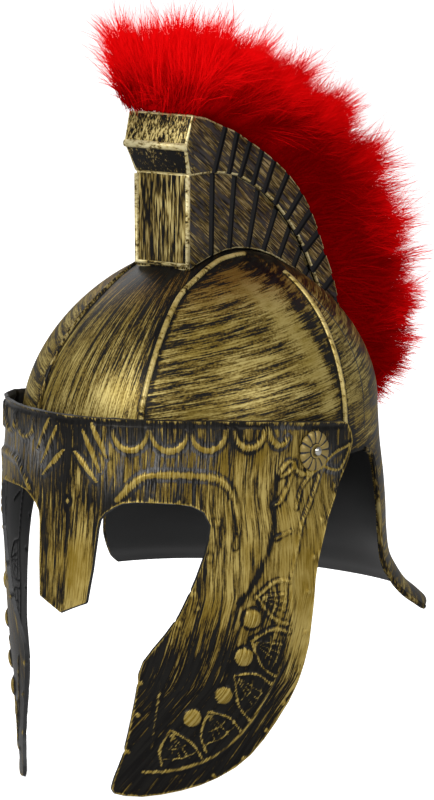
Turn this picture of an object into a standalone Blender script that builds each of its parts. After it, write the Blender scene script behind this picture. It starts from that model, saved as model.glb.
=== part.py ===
# Gladiator helmet: a moulded skull bowl with ear arches and a flared neck guard, a tilting face
# mask on two temple rivets, a two-tier crest box and a feather plume. Metres, +Z up, the front
# faces -Y, and the origin is inside the crown of the bowl.

import math

import bmesh
import bpy
from mathutils import Matrix, Vector

MM = 0.001

# Walls and fits
WALL = 2.0 * MM
SEAT_GAP = 0.3 * MM
RUNNING_GAP = 0.1 * MM

# Skull bowl, outer sizes
SKULL_HALF_WIDTH = 95 * MM
SKULL_HALF_DEPTH = 112 * MM
SKULL_SET_BACK = 2 * MM
CROWN_HEIGHT = 92 * MM
CROWN_FULLNESS = 1.8
CROWN_LEAN = 5 * MM
BOWL_RIM_DROP = 20.5 * MM
NECK_DROP = 115 * MM
RIB_RADIUS = 1.6 * MM

# Face mask
TEMPLE_GAP = 4 * MM
BROW_GAP = 6 * MM
FACE_DROP = 200 * MM
NASAL_REACH = 7.5 * MM
RELIEF_RADIUS = 1.3 * MM
BOSS_RADIUS = 5.5 * MM

BOSS_FLATNESS = 0.55
SCALLOP_TOP = -0.022
SCALLOP_DEPTH = 0.056
SCALLOP_PIECES = 4

# The nasal bulges forward between two drops, fully out to one angle and fading to another.
NASAL_START = 0.18
NASAL_TIP = 0.497
NASAL_FULL = 11
NASAL_FADE = 24
NASAL_SWEEP = 1.4

# Temple pivot
PIVOT_FORWARD = 26 * MM
PIVOT_DROP = 12.5 * MM
SHANK_RADIUS = 1.7 * MM
HEAD_RADIUS = 2.6 * MM
HEAD_HEIGHT = 1.4 * MM
ROSETTE_RADIUS = 12 * MM
ROSETTE_THICKNESS = 2.2 * MM
ROSETTE_PETALS = 12
ROSETTE_TOP = 0.8
PETAL_PIECES = 4
FLUTE_DEPTH = 0.05
RIVET_CROWN_RADIUS = 0.6
RIVET_CROWN_HEIGHT = 0.8
RIVET_STEPS = 12
SKULL_SLOPE = 0.3

# Crest box
CREST_RISE = 85 * MM
CREST_UPPER_HALF = 21 * MM
CREST_LOWER_HALF = 16 * MM
HOOD_HALF = 23 * MM
HOOD_REACH = 6 * MM
HOOD_HEIGHT = 18 * MM
HOOD_SHARE = 0.25
TIER_MIDDLE = 0.45
SLOT_WIDTH = 1.8 * MM
SLOT_DEPTH = 1.1 * MM
SLOT_SHARE = 0.93
GROOVE_WIDTH = 1.6 * MM
GROOVE_DEPTH = 0.8 * MM
GROOVE_SHARE = 0.9
CHANNEL_HALF = 6 * MM

# Plume
PLUME_REACH = 56 * MM
PLUME_TAPER = 0.1
PLUME_SPREAD = 62
PLUME_FAN = (-1.0, -0.72, -0.45, -0.15, 0.15, 0.45, 0.72, 1.0)
PLUME_ROOT_HALF = 8 * MM
LOCK_DEPTH = 0.17
LOCK_EVEN = 0.7
LOCK_SWING = 1.7

# Meshing
WELD = 0.01 * MM
ON_GRID = 1e-4
HALVINGS = 40
BOWL_COLUMNS = [10 * k for k in range(1, 18)]
BOWL_ROWS = [12.5 * k for k in range(7)]
MASK_COLUMNS = [9 * k for k in range(1, 11)]
MASK_ROWS = [-10 * k for k in range(11)]

BROW_PLANE = WALL - CROWN_HEIGHT
MASK_HALF_WIDTH = SKULL_HALF_WIDTH + TEMPLE_GAP + WALL
MASK_HALF_DEPTH = SKULL_HALF_DEPTH - SKULL_SET_BACK + BROW_GAP + WALL
HOLE_RADIUS = SHANK_RADIUS + RUNNING_GAP
ROSETTE_SAG = ROSETTE_RADIUS**2 / (4 * MASK_HALF_DEPTH)

# Skull walls below the brow plane, down to the flared neck guard. Drop is a share of NECK_DROP,
# width and depth are shares of the skull's own, and square is the superellipse exponent.
SKIRT = (
    dict(drop=0.00, width=1.000, depth=1.000, square=2.00),
    dict(drop=0.18, width=1.010, depth=0.950, square=2.18),
    dict(drop=0.35, width=1.060, depth=0.890, square=2.30),
    dict(drop=0.48, width=1.090, depth=0.852, square=2.36),
    dict(drop=0.61, width=1.102, depth=0.842, square=2.38),
    dict(drop=0.74, width=1.120, depth=0.860, square=2.38),
    dict(drop=0.83, width=1.158, depth=0.922, square=2.36),
    dict(drop=0.91, width=1.213, depth=0.990, square=2.34),
    dict(drop=0.96, width=1.270, depth=1.060, square=2.32),
    dict(drop=1.00, width=1.310, depth=1.115, square=2.30),
)

# Rear edge of the ear arch, angle round from the front in degrees, drop as a share of NECK_DROP.
EAR_EDGE = (
    dict(angle=104.5, drop=0.178),
    dict(angle=107.3, drop=0.191),
    dict(angle=109.9, drop=0.221),
    dict(angle=110.3, drop=0.270),
    dict(angle=109.6, drop=0.342),
    dict(angle=109.1, drop=0.429),
    dict(angle=109.0, drop=0.600),
    dict(angle=109.2, drop=0.779),
    dict(angle=111.0, drop=0.864),
    dict(angle=114.4, drop=0.950),
    dict(angle=117.4, drop=1.000),
)

# Mask plan at each drop below the brow plane, as shares of FACE_DROP and of the mask's own sizes.
MASK_PLAN = (
    dict(drop=-0.08, width=1.000, depth=1.000, square=2.15),
    dict(drop=0.05, width=1.000, depth=1.000, square=2.15),
    dict(drop=0.12, width=1.002, depth=1.008, square=2.18),
    dict(drop=0.18, width=1.010, depth=1.012, square=2.16),
    dict(drop=0.27, width=1.045, depth=1.016, square=2.06),
    dict(drop=0.40, width=1.060, depth=1.016, square=1.97),
    dict(drop=0.52, width=1.068, depth=1.010, square=1.92),
    dict(drop=0.66, width=1.055, depth=1.006, square=1.88),
    dict(drop=0.81, width=1.000, depth=1.075, square=1.72),
    dict(drop=0.97, width=0.985, depth=1.170, square=1.50),
    dict(drop=1.05, width=0.975, depth=1.203, square=1.42),
)

# Half the mask's edge, from the top of the brow round the cheek and the eye to the nasal tip.
MASK_EDGE = (
    dict(angle=0.0, drop=-0.048),
    dict(angle=15.0, drop=-0.050),
    dict(angle=32.0, drop=-0.050),
    dict(angle=48.0, drop=-0.046),
    dict(angle=62.0, drop=-0.036),
    dict(angle=76.0, drop=-0.020),
    dict(angle=89.5, drop=-0.004),
    dict(angle=91.6, drop=0.006),
    dict(angle=93.0, drop=0.030),
    dict(angle=93.6, drop=0.060),
    dict(angle=91.6, drop=0.108),
    dict(angle=89.2, drop=0.150),
    dict(angle=85.9, drop=0.203),
    dict(angle=81.4, drop=0.258),
    dict(angle=79.0, drop=0.308),
    dict(angle=76.8, drop=0.362),
    dict(angle=75.2, drop=0.420),
    dict(angle=74.3, drop=0.476),
    dict(angle=73.3, drop=0.533),
    dict(angle=72.4, drop=0.597),
    dict(angle=71.0, drop=0.655),
    dict(angle=69.7, drop=0.708),
    dict(angle=67.8, drop=0.763),
    dict(angle=64.8, drop=0.817),
    dict(angle=61.4, drop=0.867),
    dict(angle=58.1, drop=0.908),
    dict(angle=54.4, drop=0.941),
    dict(angle=50.3, drop=0.966),
    dict(angle=46.3, drop=0.984),
    dict(angle=42.2, drop=0.995),
    dict(angle=37.7, drop=1.003),
    dict(angle=33.4, drop=1.006),
    dict(angle=29.0, drop=1.001),
    dict(angle=26.2, drop=0.994),
    dict(angle=25.1, drop=0.981),
    dict(angle=25.2, drop=0.950),
    dict(angle=25.8, drop=0.893),
    dict(angle=25.4, drop=0.822),
    dict(angle=24.7, drop=0.751),
    dict(angle=24.0, drop=0.697),
    dict(angle=23.7, drop=0.662),
    dict(angle=24.6, drop=0.630),
    dict(angle=27.4, drop=0.592),
    dict(angle=31.1, drop=0.548),
    dict(angle=34.7, drop=0.497),
    dict(angle=37.6, drop=0.439),
    dict(angle=39.9, drop=0.388),
    dict(angle=42.0, drop=0.332),
    dict(angle=43.3, drop=0.288),
    dict(angle=44.3, drop=0.240),
    dict(angle=42.7, drop=0.203),
    dict(angle=39.1, drop=0.185),
    dict(angle=34.5, drop=0.179),
    dict(angle=29.8, drop=0.177),
    dict(angle=21.9, drop=0.176),
    dict(angle=17.9, drop=0.181),
    dict(angle=15.3, drop=0.193),
    dict(angle=12.5, drop=0.211),
    dict(angle=10.9, drop=0.230),
    dict(angle=10.5, drop=0.255),
)
NASAL_EDGE = (
    dict(angle=10.1, drop=0.371),
    dict(angle=9.2, drop=0.462),
    dict(angle=0.0, drop=NASAL_TIP),
)

# Relief lines of the mask, in the same angle and drop.
BROW_RIDGE = (
    dict(angle=16.0, drop=0.173),
    dict(angle=20.1, drop=0.135),
    dict(angle=24.2, drop=0.107),
    dict(angle=31.0, drop=0.099),
    dict(angle=39.6, drop=0.102),
    dict(angle=47.0, drop=0.113),
    dict(angle=51.0, drop=0.145),
    dict(angle=52.8, drop=0.194),
    dict(angle=52.3, drop=0.249),
    dict(angle=51.0, drop=0.307),
)
CHEEK_RIDGE = (
    dict(angle=72.4, drop=0.200),
    dict(angle=68.8, drop=0.264),
    dict(angle=67.3, drop=0.340),
    dict(angle=67.1, drop=0.415),
    dict(angle=66.7, drop=0.557),
    dict(angle=64.6, drop=0.641),
    dict(angle=61.7, drop=0.708),
    dict(angle=57.8, drop=0.806),
    dict(angle=53.6, drop=0.860),
    dict(angle=47.6, drop=0.909),
    dict(angle=39.7, drop=0.934),
    dict(angle=32.2, drop=0.936),
)
SCALLOPS = (
    dict(start=14.4, end=25.5, share=1.00),
    dict(start=26.7, end=37.9, share=1.00),
    dict(start=38.9, end=49.6, share=1.00),
    dict(start=52.2, end=62.1, share=1.00),
    dict(start=63.3, end=69.6, share=0.75),
)
BOSSES = (
    dict(angle=54.9, drop=0.510),
    dict(angle=52.5, drop=0.618),
    dict(angle=48.4, drop=0.725),
    dict(angle=41.5, drop=0.786),
)

# Raised ribs of the bowl. Angle round from the front, rise is the latitude on the dome in degrees.
RIBS = (
    (
        dict(angle=23, rise=-8),
        dict(angle=22.6, rise=14),
        dict(angle=23.9, rise=29),
        dict(angle=25.5, rise=42),
        dict(angle=28.0, rise=52),
        dict(angle=34.0, rise=59),
        dict(angle=44.0, rise=66),
        dict(angle=59.0, rise=71),
        dict(angle=98.0, rise=73),
    ),
    (
        dict(angle=94.5, rise=-8),
        dict(angle=94.3, rise=8),
        dict(angle=95.8, rise=23),
        dict(angle=98.6, rise=35),
        dict(angle=103.0, rise=48),
        dict(angle=108.0, rise=59),
    ),
)

# Stations of the crest box from the front to its hidden end. Back is a share of SKULL_HALF_DEPTH
# behind the crown, and rise is a share of CREST_RISE above the dome there. The tier line is where
# the wide upper tier stands on the narrow lower one, and a slot joins the two lines.
CREST = (
    dict(top_back=-0.313, top_rise=1.027, tier_back=-0.340, tier_rise=0.629),
    dict(top_back=-0.179, top_rise=0.934, tier_back=-0.230, tier_rise=0.583),
    dict(top_back=-0.024, top_rise=0.820, tier_back=-0.118, tier_rise=0.541),
    dict(top_back=0.078, top_rise=0.768, tier_back=0.005, tier_rise=0.497),
    dict(top_back=0.188, top_rise=0.708, tier_back=0.100, tier_rise=0.466),
    dict(top_back=0.290, top_rise=0.668, tier_back=0.210, tier_rise=0.419),
    dict(top_back=0.395, top_rise=0.633, tier_back=0.304, tier_rise=0.383),
    dict(top_back=0.514, top_rise=0.598, tier_back=0.402, tier_rise=0.339),
    dict(top_back=0.636, top_rise=0.551, tier_back=0.500, tier_rise=0.281),
    dict(top_back=0.720, top_rise=0.498, tier_back=0.585, tier_rise=0.230),
    dict(top_back=0.789, top_rise=0.425, tier_back=0.661, tier_rise=0.171),
    dict(top_back=0.845, top_rise=0.357, tier_back=0.732, tier_rise=0.094),
    dict(top_back=0.920, top_rise=0.315, tier_back=0.804, tier_rise=0.019),
    dict(top_back=0.967, top_rise=0.268, tier_back=0.857, tier_rise=-0.018),
    dict(top_back=0.991, top_rise=0.204, tier_back=0.911, tier_rise=-0.055),
)

# Shallow grooves on the lower tier, from the tier line down to the dome, in the same shares.
GROOVES = (
    dict(tier_back=-0.107, foot_back=-0.116),
    dict(tier_back=0.080, foot_back=0.036),
    dict(tier_back=0.277, foot_back=0.196),
    dict(tier_back=0.438, foot_back=0.330),
    dict(tier_back=0.554, foot_back=0.464),
    dict(tier_back=0.652, foot_back=0.589),
    dict(tier_back=0.723, foot_back=0.679),
)

# Tail of the plume past the crest box: back past the bowl and drop below the crown, as shares of
# SKULL_HALF_DEPTH and CROWN_HEIGHT, and reach as a share of PLUME_REACH.
TAIL = (
    dict(back=1.050, drop=0.81, reach=0.84),
    dict(back=1.070, drop=0.95, reach=0.74),
    dict(back=1.085, drop=1.06, reach=0.58),
    dict(back=1.095, drop=1.14, reach=0.36),
)


def smooth_value(rows, key, at, by="drop"):
    """Cubic through the rows' values, with the slope at each row taken from its neighbours."""
    places = [row[by] for row in rows]
    values = [row[key] for row in rows]
    last = len(rows) - 1
    at = min(max(at, places[0]), places[last])
    i = next(k for k in range(last) if at <= places[k + 1])

    def slope(k):
        low, high = max(k - 1, 0), min(k + 1, last)
        return (values[high] - values[low]) / (places[high] - places[low])

    span = places[i + 1] - places[i]
    t = (at - places[i]) / span
    start = values[i] * (2 * t**3 - 3 * t**2 + 1) + slope(i) * span * (t**3 - 2 * t**2 + t)
    end = values[i + 1] * (3 * t**2 - 2 * t**3) + slope(i + 1) * span * (t**3 - t**2)
    return start + end


def smooth_line(points, steps):
    """A polyline through the points, rounded between them, with steps pieces in each span."""
    points = [Vector(p) for p in points]
    padded = [2 * points[0] - points[1], *points, 2 * points[-1] - points[-2]]
    line = []
    for a, b, c, d in zip(padded, padded[1:], padded[2:], padded[3:]):
        for k in range(steps):
            t = k / steps
            line.append(
                0.5 * (2 * b + (c - a) * t + (2 * a - 5 * b + 4 * c - d) * t**2
                       + (3 * b - a - 3 * c + d) * t**3)
            )
    line.append(points[-1])
    return line


def round_plan(angle, half_width, half_depth, square):
    """A point of a superellipse, at this angle in degrees from the front."""
    turn = math.radians(angle)
    across, along = math.sin(turn), math.cos(turn)
    x = half_width * math.copysign(abs(across) ** (2 / square), across)
    y = -half_depth * math.copysign(abs(along) ** (2 / square), along)
    return x, y


def bowl_point(angle, level, grow=0.0):
    """Outer face of the bowl. Level is degrees of latitude above the brow plane, and below it
    the drop as a share of NECK_DROP, in hundredths."""
    if level >= 0:
        turn = math.radians(min(level, 90))
        share = max(math.cos(turn), 0.0) ** (2 / CROWN_FULLNESS)
        rise = math.sin(turn) ** (2 / CROWN_FULLNESS)
        x, y = round_plan(angle, SKULL_HALF_WIDTH * share + grow, SKULL_HALF_DEPTH * share + grow, 2)
        back = SKULL_SET_BACK + CROWN_LEAN * math.sin(turn)
        return Vector((x, y + back, BROW_PLANE + (CROWN_HEIGHT + grow) * rise))
    drop = -level / 100
    x, y = round_plan(
        angle,
        SKULL_HALF_WIDTH * smooth_value(SKIRT, "width", drop) + grow,
        SKULL_HALF_DEPTH * smooth_value(SKIRT, "depth", drop) + grow,
        smooth_value(SKIRT, "square", drop),
    )
    return Vector((x, y + SKULL_SET_BACK, BROW_PLANE - NECK_DROP * drop))


def halved(still_low, low, high):
    """The place between low and high where still_low turns false."""
    for _ in range(HALVINGS):
        middle = (low + high) / 2
        if still_low(middle):
            low = middle
        else:
            high = middle
    return low


def dome_height(y):
    """Height of the bowl's outer face on the middle plane."""
    crown = bowl_point(0, 90).y
    side = 180 if y > crown else 0
    level = halved(lambda at: abs(bowl_point(side, at).y - crown) > abs(y - crown), 0, 90)
    return bowl_point(side, level).z


def mask_point(angle, level):
    """Outer face of the mask. Level is hundredths of FACE_DROP above the brow plane."""
    drop = -level / 100
    x, y = round_plan(
        angle,
        MASK_HALF_WIDTH * smooth_value(MASK_PLAN, "width", drop),
        MASK_HALF_DEPTH * smooth_value(MASK_PLAN, "depth", drop),
        smooth_value(MASK_PLAN, "square", drop),
    )
    along = min(max((drop - NASAL_START) / (NASAL_TIP - NASAL_START), 0), 1)
    near = min(max((NASAL_FADE - abs(angle)) / (NASAL_FADE - NASAL_FULL), 0), 1)
    reach = NASAL_REACH * along**NASAL_SWEEP * near * near * (3 - 2 * near)
    return Vector((x, y - reach, BROW_PLANE - FACE_DROP * drop))


def surface_normal(surface, angle, level, step=0.5):
    across = surface(angle + step, level) - surface(angle - step, level)
    up = surface(angle, level + step) - surface(angle, level - step)
    return across.cross(up).normalized()


def new_object(name, bm, collection):
    bmesh.ops.recalc_face_normals(bm, faces=bm.faces[:])
    bmesh.ops.triangulate(bm, faces=bm.faces[:])
    mesh = bpy.data.meshes.new(name)
    bm.to_mesh(mesh)
    bm.free()
    obj = bpy.data.objects.new(name, mesh)
    collection.objects.link(obj)
    return obj


def add_boolean(obj, other, operation):
    modifier = obj.modifiers.new(operation.title(), "BOOLEAN")
    modifier.operation = operation
    modifier.solver = "EXACT"
    modifier.object = other


def helper_object(name, bm):
    obj = new_object(name, bm, helpers)
    obj.hide_render = True
    obj.display_type = "WIRE"
    return obj


def developed_sheet(outline, columns, rows):
    """A flat sheet inside the outline, cut along the grid lines, one face to a cell."""
    bm = bmesh.new()
    bm.faces.new([bm.verts.new((p[0], p[1], 0)) for p in outline])
    bmesh.ops.triangulate(bm, faces=bm.faces[:])
    for places, normal in ((columns, (1, 0, 0)), (rows, (0, 1, 0))):
        for place in places:
            everything = bm.verts[:] + bm.edges[:] + bm.faces[:]
            point = Vector(normal) * place
            bmesh.ops.bisect_plane(bm, geom=everything, plane_co=point, plane_no=normal, dist=ON_GRID)
    slanted = []
    for edge in bm.edges:
        run = edge.verts[0].co - edge.verts[1].co
        if len(edge.link_faces) == 2 and abs(run.x) > ON_GRID and abs(run.y) > ON_GRID:
            slanted.append(edge)
    bmesh.ops.dissolve_edges(bm, edges=slanted, use_verts=False)
    return bm


def shell_from(bm, surface, name, mirrored):
    """The developed sheet laid on its surface and thickened inwards by the wall."""
    for vert in bm.verts:
        vert.co = surface(vert.co.x, vert.co.y)
    bmesh.ops.remove_doubles(bm, verts=bm.verts[:], dist=WELD)
    obj = new_object(name, bm, parts)
    middle = obj.data.polygons[len(obj.data.polygons) // 2]
    if middle.normal.dot(middle.center - Vector((0, 0, middle.center.z))) < 0:
        obj.data.flip_normals()
    if mirrored:
        mirror = obj.modifiers.new("Mirror", "MIRROR")
        mirror.merge_threshold = 0.0001
    solidify = obj.modifiers.new("Wall", "SOLIDIFY")
    solidify.thickness = WALL
    solidify.offset = -1
    solidify.use_even_offset = True
    return obj


def tube_on(surface, rows, radius, name, level=lambda row: -100 * row["drop"]):
    """A closed round bead that follows a line on a surface, as a mesh."""
    curve = bpy.data.curves.new(name, "CURVE")
    curve.dimensions = "3D"
    curve.bevel_depth = radius
    curve.bevel_resolution = 0
    curve.use_fill_caps = True
    spline = curve.splines.new("POLY")
    spline.points.add(len(rows) - 1)
    for point, row in zip(spline.points, rows):
        point.co = (*surface(row["angle"], level(row)), 1)
    return mesh_of_curve(curve, name)


def mesh_of_curve(curve, name):
    source = bpy.data.objects.new(name + "_path", curve)
    helpers.objects.link(source)
    bpy.context.view_layer.update()
    mesh = bpy.data.meshes.new_from_object(source.evaluated_get(bpy.context.evaluated_depsgraph_get()))
    bpy.data.objects.remove(source)
    bm = bmesh.new()
    bm.from_mesh(mesh)
    bmesh.ops.remove_doubles(bm, verts=bm.verts[:], dist=WELD)
    return helper_object(name, bm)


def mirrored_copy(obj, name):
    bm = bmesh.new()
    bm.from_mesh(obj.data)
    bmesh.ops.scale(bm, vec=(-1, 1, 1), verts=bm.verts[:])
    return helper_object(name, bm)


def prism(name, loop, half_width):
    """A closed outline of (y, z) points, as wide as twice half_width across the middle plane."""
    bm = bmesh.new()
    face = bm.faces.new([bm.verts.new((-half_width, y, z)) for y, z in loop])
    top = bmesh.ops.extrude_face_region(bm, geom=[face])["geom"]
    moved = [item for item in top if isinstance(item, bmesh.types.BMVert)]
    bmesh.ops.translate(bm, vec=(2 * half_width, 0, 0), verts=moved)
    return helper_object(name, bm)


def shifted(line, distance):
    """A (y, z) line moved along its own normals, outwards from the dome where distance is over 0."""
    out = []
    for i, point in enumerate(line):
        ahead = Vector(line[min(i + 1, len(line) - 1)]) - Vector(line[max(i - 1, 0)])
        normal = Vector((-ahead.y, ahead.x)).normalized()
        out.append(tuple(Vector(point) + normal * distance))
    return out


def material(name, colour, roughness, metallic=0.0):
    made = bpy.data.materials.new(name)
    made.use_nodes = True
    shader = made.node_tree.nodes["Principled BSDF"]
    shader.inputs["Base Color"].default_value = (*colour, 1)
    shader.inputs["Roughness"].default_value = roughness
    shader.inputs["Metallic"].default_value = metallic
    return made


def make_skull_bowl():
    rim = -100 * BOWL_RIM_DROP / NECK_DROP
    ear = [(row["angle"], -100 * row["drop"]) for row in EAR_EDGE]
    outline = [(0, 90), (0, rim), *[point for point in ear if point[1] < rim], (180, -100), (180, 90)]
    rows = BOWL_ROWS + [-100 * row["drop"] for row in SKIRT[1:-1]]
    bowl = shell_from(developed_sheet(outline, BOWL_COLUMNS, rows), bowl_point, "skull_bowl", True)
    for number, rib in enumerate(RIBS, 1):
        name = f"rib_{number}_left"
        tube = tube_on(bowl_point, rib, RIB_RADIUS, name, lambda row: row["rise"])
        add_boolean(bowl, tube, "UNION")
        add_boolean(bowl, mirrored_copy(tube, f"rib_{number}_right"), "UNION")
    return bowl


def scallop_line(start, end, share):
    """A hanging arc of the brow band, cut short where share is under 1."""
    line = []
    for k in range(SCALLOP_PIECES + 1):
        turn = math.pi * share * k / SCALLOP_PIECES
        across = (1 - math.cos(turn)) / (1 - math.cos(math.pi * share))
        line.append(
            dict(angle=start + (end - start) * across, drop=SCALLOP_TOP + SCALLOP_DEPTH * math.sin(turn))
        )
    return line


def boss_on_mask(name, angle, drop):
    bm = bmesh.new()
    bmesh.ops.create_uvsphere(bm, u_segments=8, v_segments=6, radius=BOSS_RADIUS)
    normal = surface_normal(mask_point, angle, -100 * drop)
    turn = normal.to_track_quat("Z", "Y").to_matrix().to_4x4()
    flat = Matrix.Diagonal((1, 1, BOSS_FLATNESS, 1))
    place = Matrix.Translation(mask_point(angle, -100 * drop))
    bmesh.ops.transform(bm, matrix=place @ turn @ flat, verts=bm.verts[:])
    return helper_object(name, bm)


def make_face_mask():
    edge = [(row["angle"], -100 * row["drop"]) for row in (*MASK_EDGE, *NASAL_EDGE)]
    mask = shell_from(developed_sheet(edge, MASK_COLUMNS, MASK_ROWS), mask_point, "face_mask", True)
    beads = {"brow_ridge": BROW_RIDGE, "cheek_ridge": CHEEK_RIDGE}
    for number, scallop in enumerate(SCALLOPS, 1):
        beads[f"scallop_{number}"] = scallop_line(**scallop)
    raised = [tube_on(mask_point, rows, RELIEF_RADIUS, name + "_left") for name, rows in beads.items()]
    raised += [boss_on_mask(f"boss_{number}_left", **boss) for number, boss in enumerate(BOSSES, 1)]
    for relief in raised:
        add_boolean(mask, relief, "UNION")
        add_boolean(mask, mirrored_copy(relief, relief.name.replace("left", "right")), "UNION")
    return mask


def crest_line(kind):
    """The (y, z) points of the crest's top line or tier line."""
    line = []
    for row in CREST:
        y = SKULL_HALF_DEPTH * row[kind + "_back"]
        line.append((y, dome_height(y) + CREST_RISE * row[kind + "_rise"]))
    return line


def dome_cutter(gap):
    """The bowl's dome grown by a gap, closed below."""
    bm = bmesh.new()
    bmesh.ops.create_grid(bm, x_segments=48, y_segments=18, size=1)
    for vert in bm.verts:
        vert.co = bowl_point(180 * vert.co.x, 45 + 45 * vert.co.y, gap)
    bmesh.ops.remove_doubles(bm, verts=bm.verts[:], dist=WELD)
    rim = [edge for edge in bm.edges if len(edge.link_faces) == 1]
    skirt = bmesh.ops.extrude_edge_only(bm, edges=rim)["geom"]
    lowered = [item for item in skirt if isinstance(item, bmesh.types.BMVert)]
    bmesh.ops.translate(bm, vec=(0, 0, -CROWN_HEIGHT / 2), verts=lowered)
    bmesh.ops.holes_fill(bm, edges=[edge for edge in bm.edges if len(edge.link_faces) == 1])
    return helper_object("dome_cutter", bm)


def ring_loft(name, rings):
    """A closed body through rings of equal count, capped at both ends."""
    bm = bmesh.new()
    rows = [[bm.verts.new(point) for point in ring] for ring in rings]
    for low, high in zip(rows, rows[1:]):
        for i in range(len(low)):
            j = (i + 1) % len(low)
            bm.faces.new((low[i], low[j], high[j], high[i]))
    bm.faces.new(rows[0])
    bm.faces.new(rows[-1])
    return helper_object(name, bm)


def upper_tier(top, tier, hood):
    """The wide tier, whose front is a hood that leans out and tucks back under."""
    wide = CREST_UPPER_HALF
    stations = [(top[0], hood, tier[0], HOOD_HALF, (wide + HOOD_HALF) / 2, CREST_LOWER_HALF)]
    behind = [tuple(Vector(a).lerp(Vector(b), HOOD_SHARE)) for a, b in ((top[0], top[1]), (tier[0], tier[1]))]
    for high, low in [behind, *zip(top[1:], tier[1:])]:
        middle = tuple(Vector(high).lerp(Vector(low), TIER_MIDDLE))
        stations.append((high, middle, low, wide, wide, wide))
    rings = []
    for high, middle, low, w_high, w_middle, w_low in stations:
        left = [(-w_high, *high), (-w_middle, *middle), (-w_low, *low)]
        rings.append([*left, *[(-x, y, z) for x, y, z in left[::-1]]])
    return ring_loft("crest_upper", rings)


def make_crest_box(cutter):
    top, tier = crest_line("top"), crest_line("tier")
    front_y = tier[0][0]
    hood = (front_y - HOOD_REACH / 2, top[0][1] - HOOD_HEIGHT)
    foot = [(y, dome_height(y) - 2 * WALL) for y, _ in tier]
    upper = upper_tier(top, tier, hood)
    lowered = [(y, z + WALL / 2) for y, z in tier]
    crest = prism("crest_box", [*lowered, *foot[::-1]], CREST_LOWER_HALF)
    helpers.objects.unlink(crest)
    parts.objects.link(crest)
    crest.hide_render = False
    crest.display_type = "TEXTURED"
    add_boolean(crest, upper, "UNION")
    # The hollow, which follows both tiers a wall inside them and is open towards the dome.
    inner_top = shifted(top[1:-1], -WALL)
    inner_tier = shifted(tier[1:-2], WALL)
    upper_hollow = prism("crest_upper_hollow", [*inner_top[:-1], *inner_tier[::-1]], CREST_UPPER_HALF - WALL)
    low_top = [(y + WALL, z + 2 * WALL) for y, z in tier[:-4]]
    low_foot = [(y + WALL, z - WALL) for y, z in foot[:-4]]
    lower_hollow = prism("crest_lower_hollow", [*low_top, *low_foot[::-1]], CREST_LOWER_HALF - WALL)
    add_boolean(crest, upper_hollow, "DIFFERENCE")
    add_boolean(crest, lower_hollow, "DIFFERENCE")
    seat = between_stations(top)
    channel = prism("plume_channel", [*shifted(seat, WALL), *shifted(seat, -2 * WALL)[::-1]], CHANNEL_HALF)
    add_boolean(crest, channel, "DIFFERENCE")
    add_boolean(crest, cutter, "DIFFERENCE")
    slots = list(zip(top[2:-1], tier[2:-1]))
    cuts = line_cutter("slot_cutter", slots, CREST_UPPER_HALF, SLOT_WIDTH, SLOT_DEPTH, SLOT_SHARE)
    add_boolean(crest, cuts, "DIFFERENCE")
    grooves = [groove_ends(tier, **groove) for groove in GROOVES]
    cuts = line_cutter(
        "groove_cutter", grooves, CREST_LOWER_HALF, GROOVE_WIDTH, GROOVE_DEPTH, GROOVE_SHARE
    )
    add_boolean(crest, cuts, "DIFFERENCE")
    return crest


def between_stations(line):
    """The points half way between a line's own, so that the line stops short of both its ends."""
    return [tuple((Vector(a) + Vector(b)) / 2) for a, b in zip(line[:-1], line[1:])]


def groove_ends(tier, tier_back, foot_back):
    """The two (y, z) ends of a groove of the lower tier."""
    high_y, low_y = SKULL_HALF_DEPTH * tier_back, SKULL_HALF_DEPTH * foot_back
    for (y, z), (next_y, next_z) in zip(tier, tier[1:]):
        if y <= high_y <= next_y:
            share = (high_y - y) / (next_y - y)
            return (high_y, z + (next_z - z) * share), (low_y, dome_height(low_y))


def line_cutter(name, lines, half_width, width, depth, share):
    """Bars let into both sides of the crest, each along most of a line in the (y, z) plane."""
    bm = bmesh.new()
    for high, low in lines:
        run = Vector((0, *high)) - Vector((0, *low))
        along = Matrix.Rotation(-math.atan2(run.y, run.z), 4, "X")
        size = Matrix.Diagonal((2 * depth, width, run.length * share, 1))
        for side in (-1, 1):
            centre = Vector((0, *low)) + run / 2 + Vector((side * half_width, 0, 0))
            box = bmesh.ops.create_cube(bm, size=1)["verts"]
            bmesh.ops.transform(bm, matrix=Matrix.Translation(centre) @ along @ size, verts=box)
    return helper_object(name, bm)


def plume_stations():
    """Root point, outward direction and reach at each section of the plume."""
    top = crest_line("top")
    roots = smooth_line([(y, z, 0) for y, z in top], 2)
    line = [(p.x, p.y, 1 - PLUME_TAPER * i / len(roots)) for i, p in enumerate(roots)]
    for row in TAIL:
        line.append((SKULL_HALF_DEPTH * row["back"], WALL - CROWN_HEIGHT * row["drop"], row["reach"]))
    stations = []
    for i, (y, z, reach) in enumerate(line):
        before, after = line[max(i - 1, 0)], line[min(i + 1, len(line) - 1)]
        ahead = Vector((after[0] - before[0], after[1] - before[1]))
        normal = Vector((-ahead.y, ahead.x)).normalized()
        stations.append((Vector((0, y, z)), Vector((0, normal.x, normal.y)), reach))
    return stations


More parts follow.
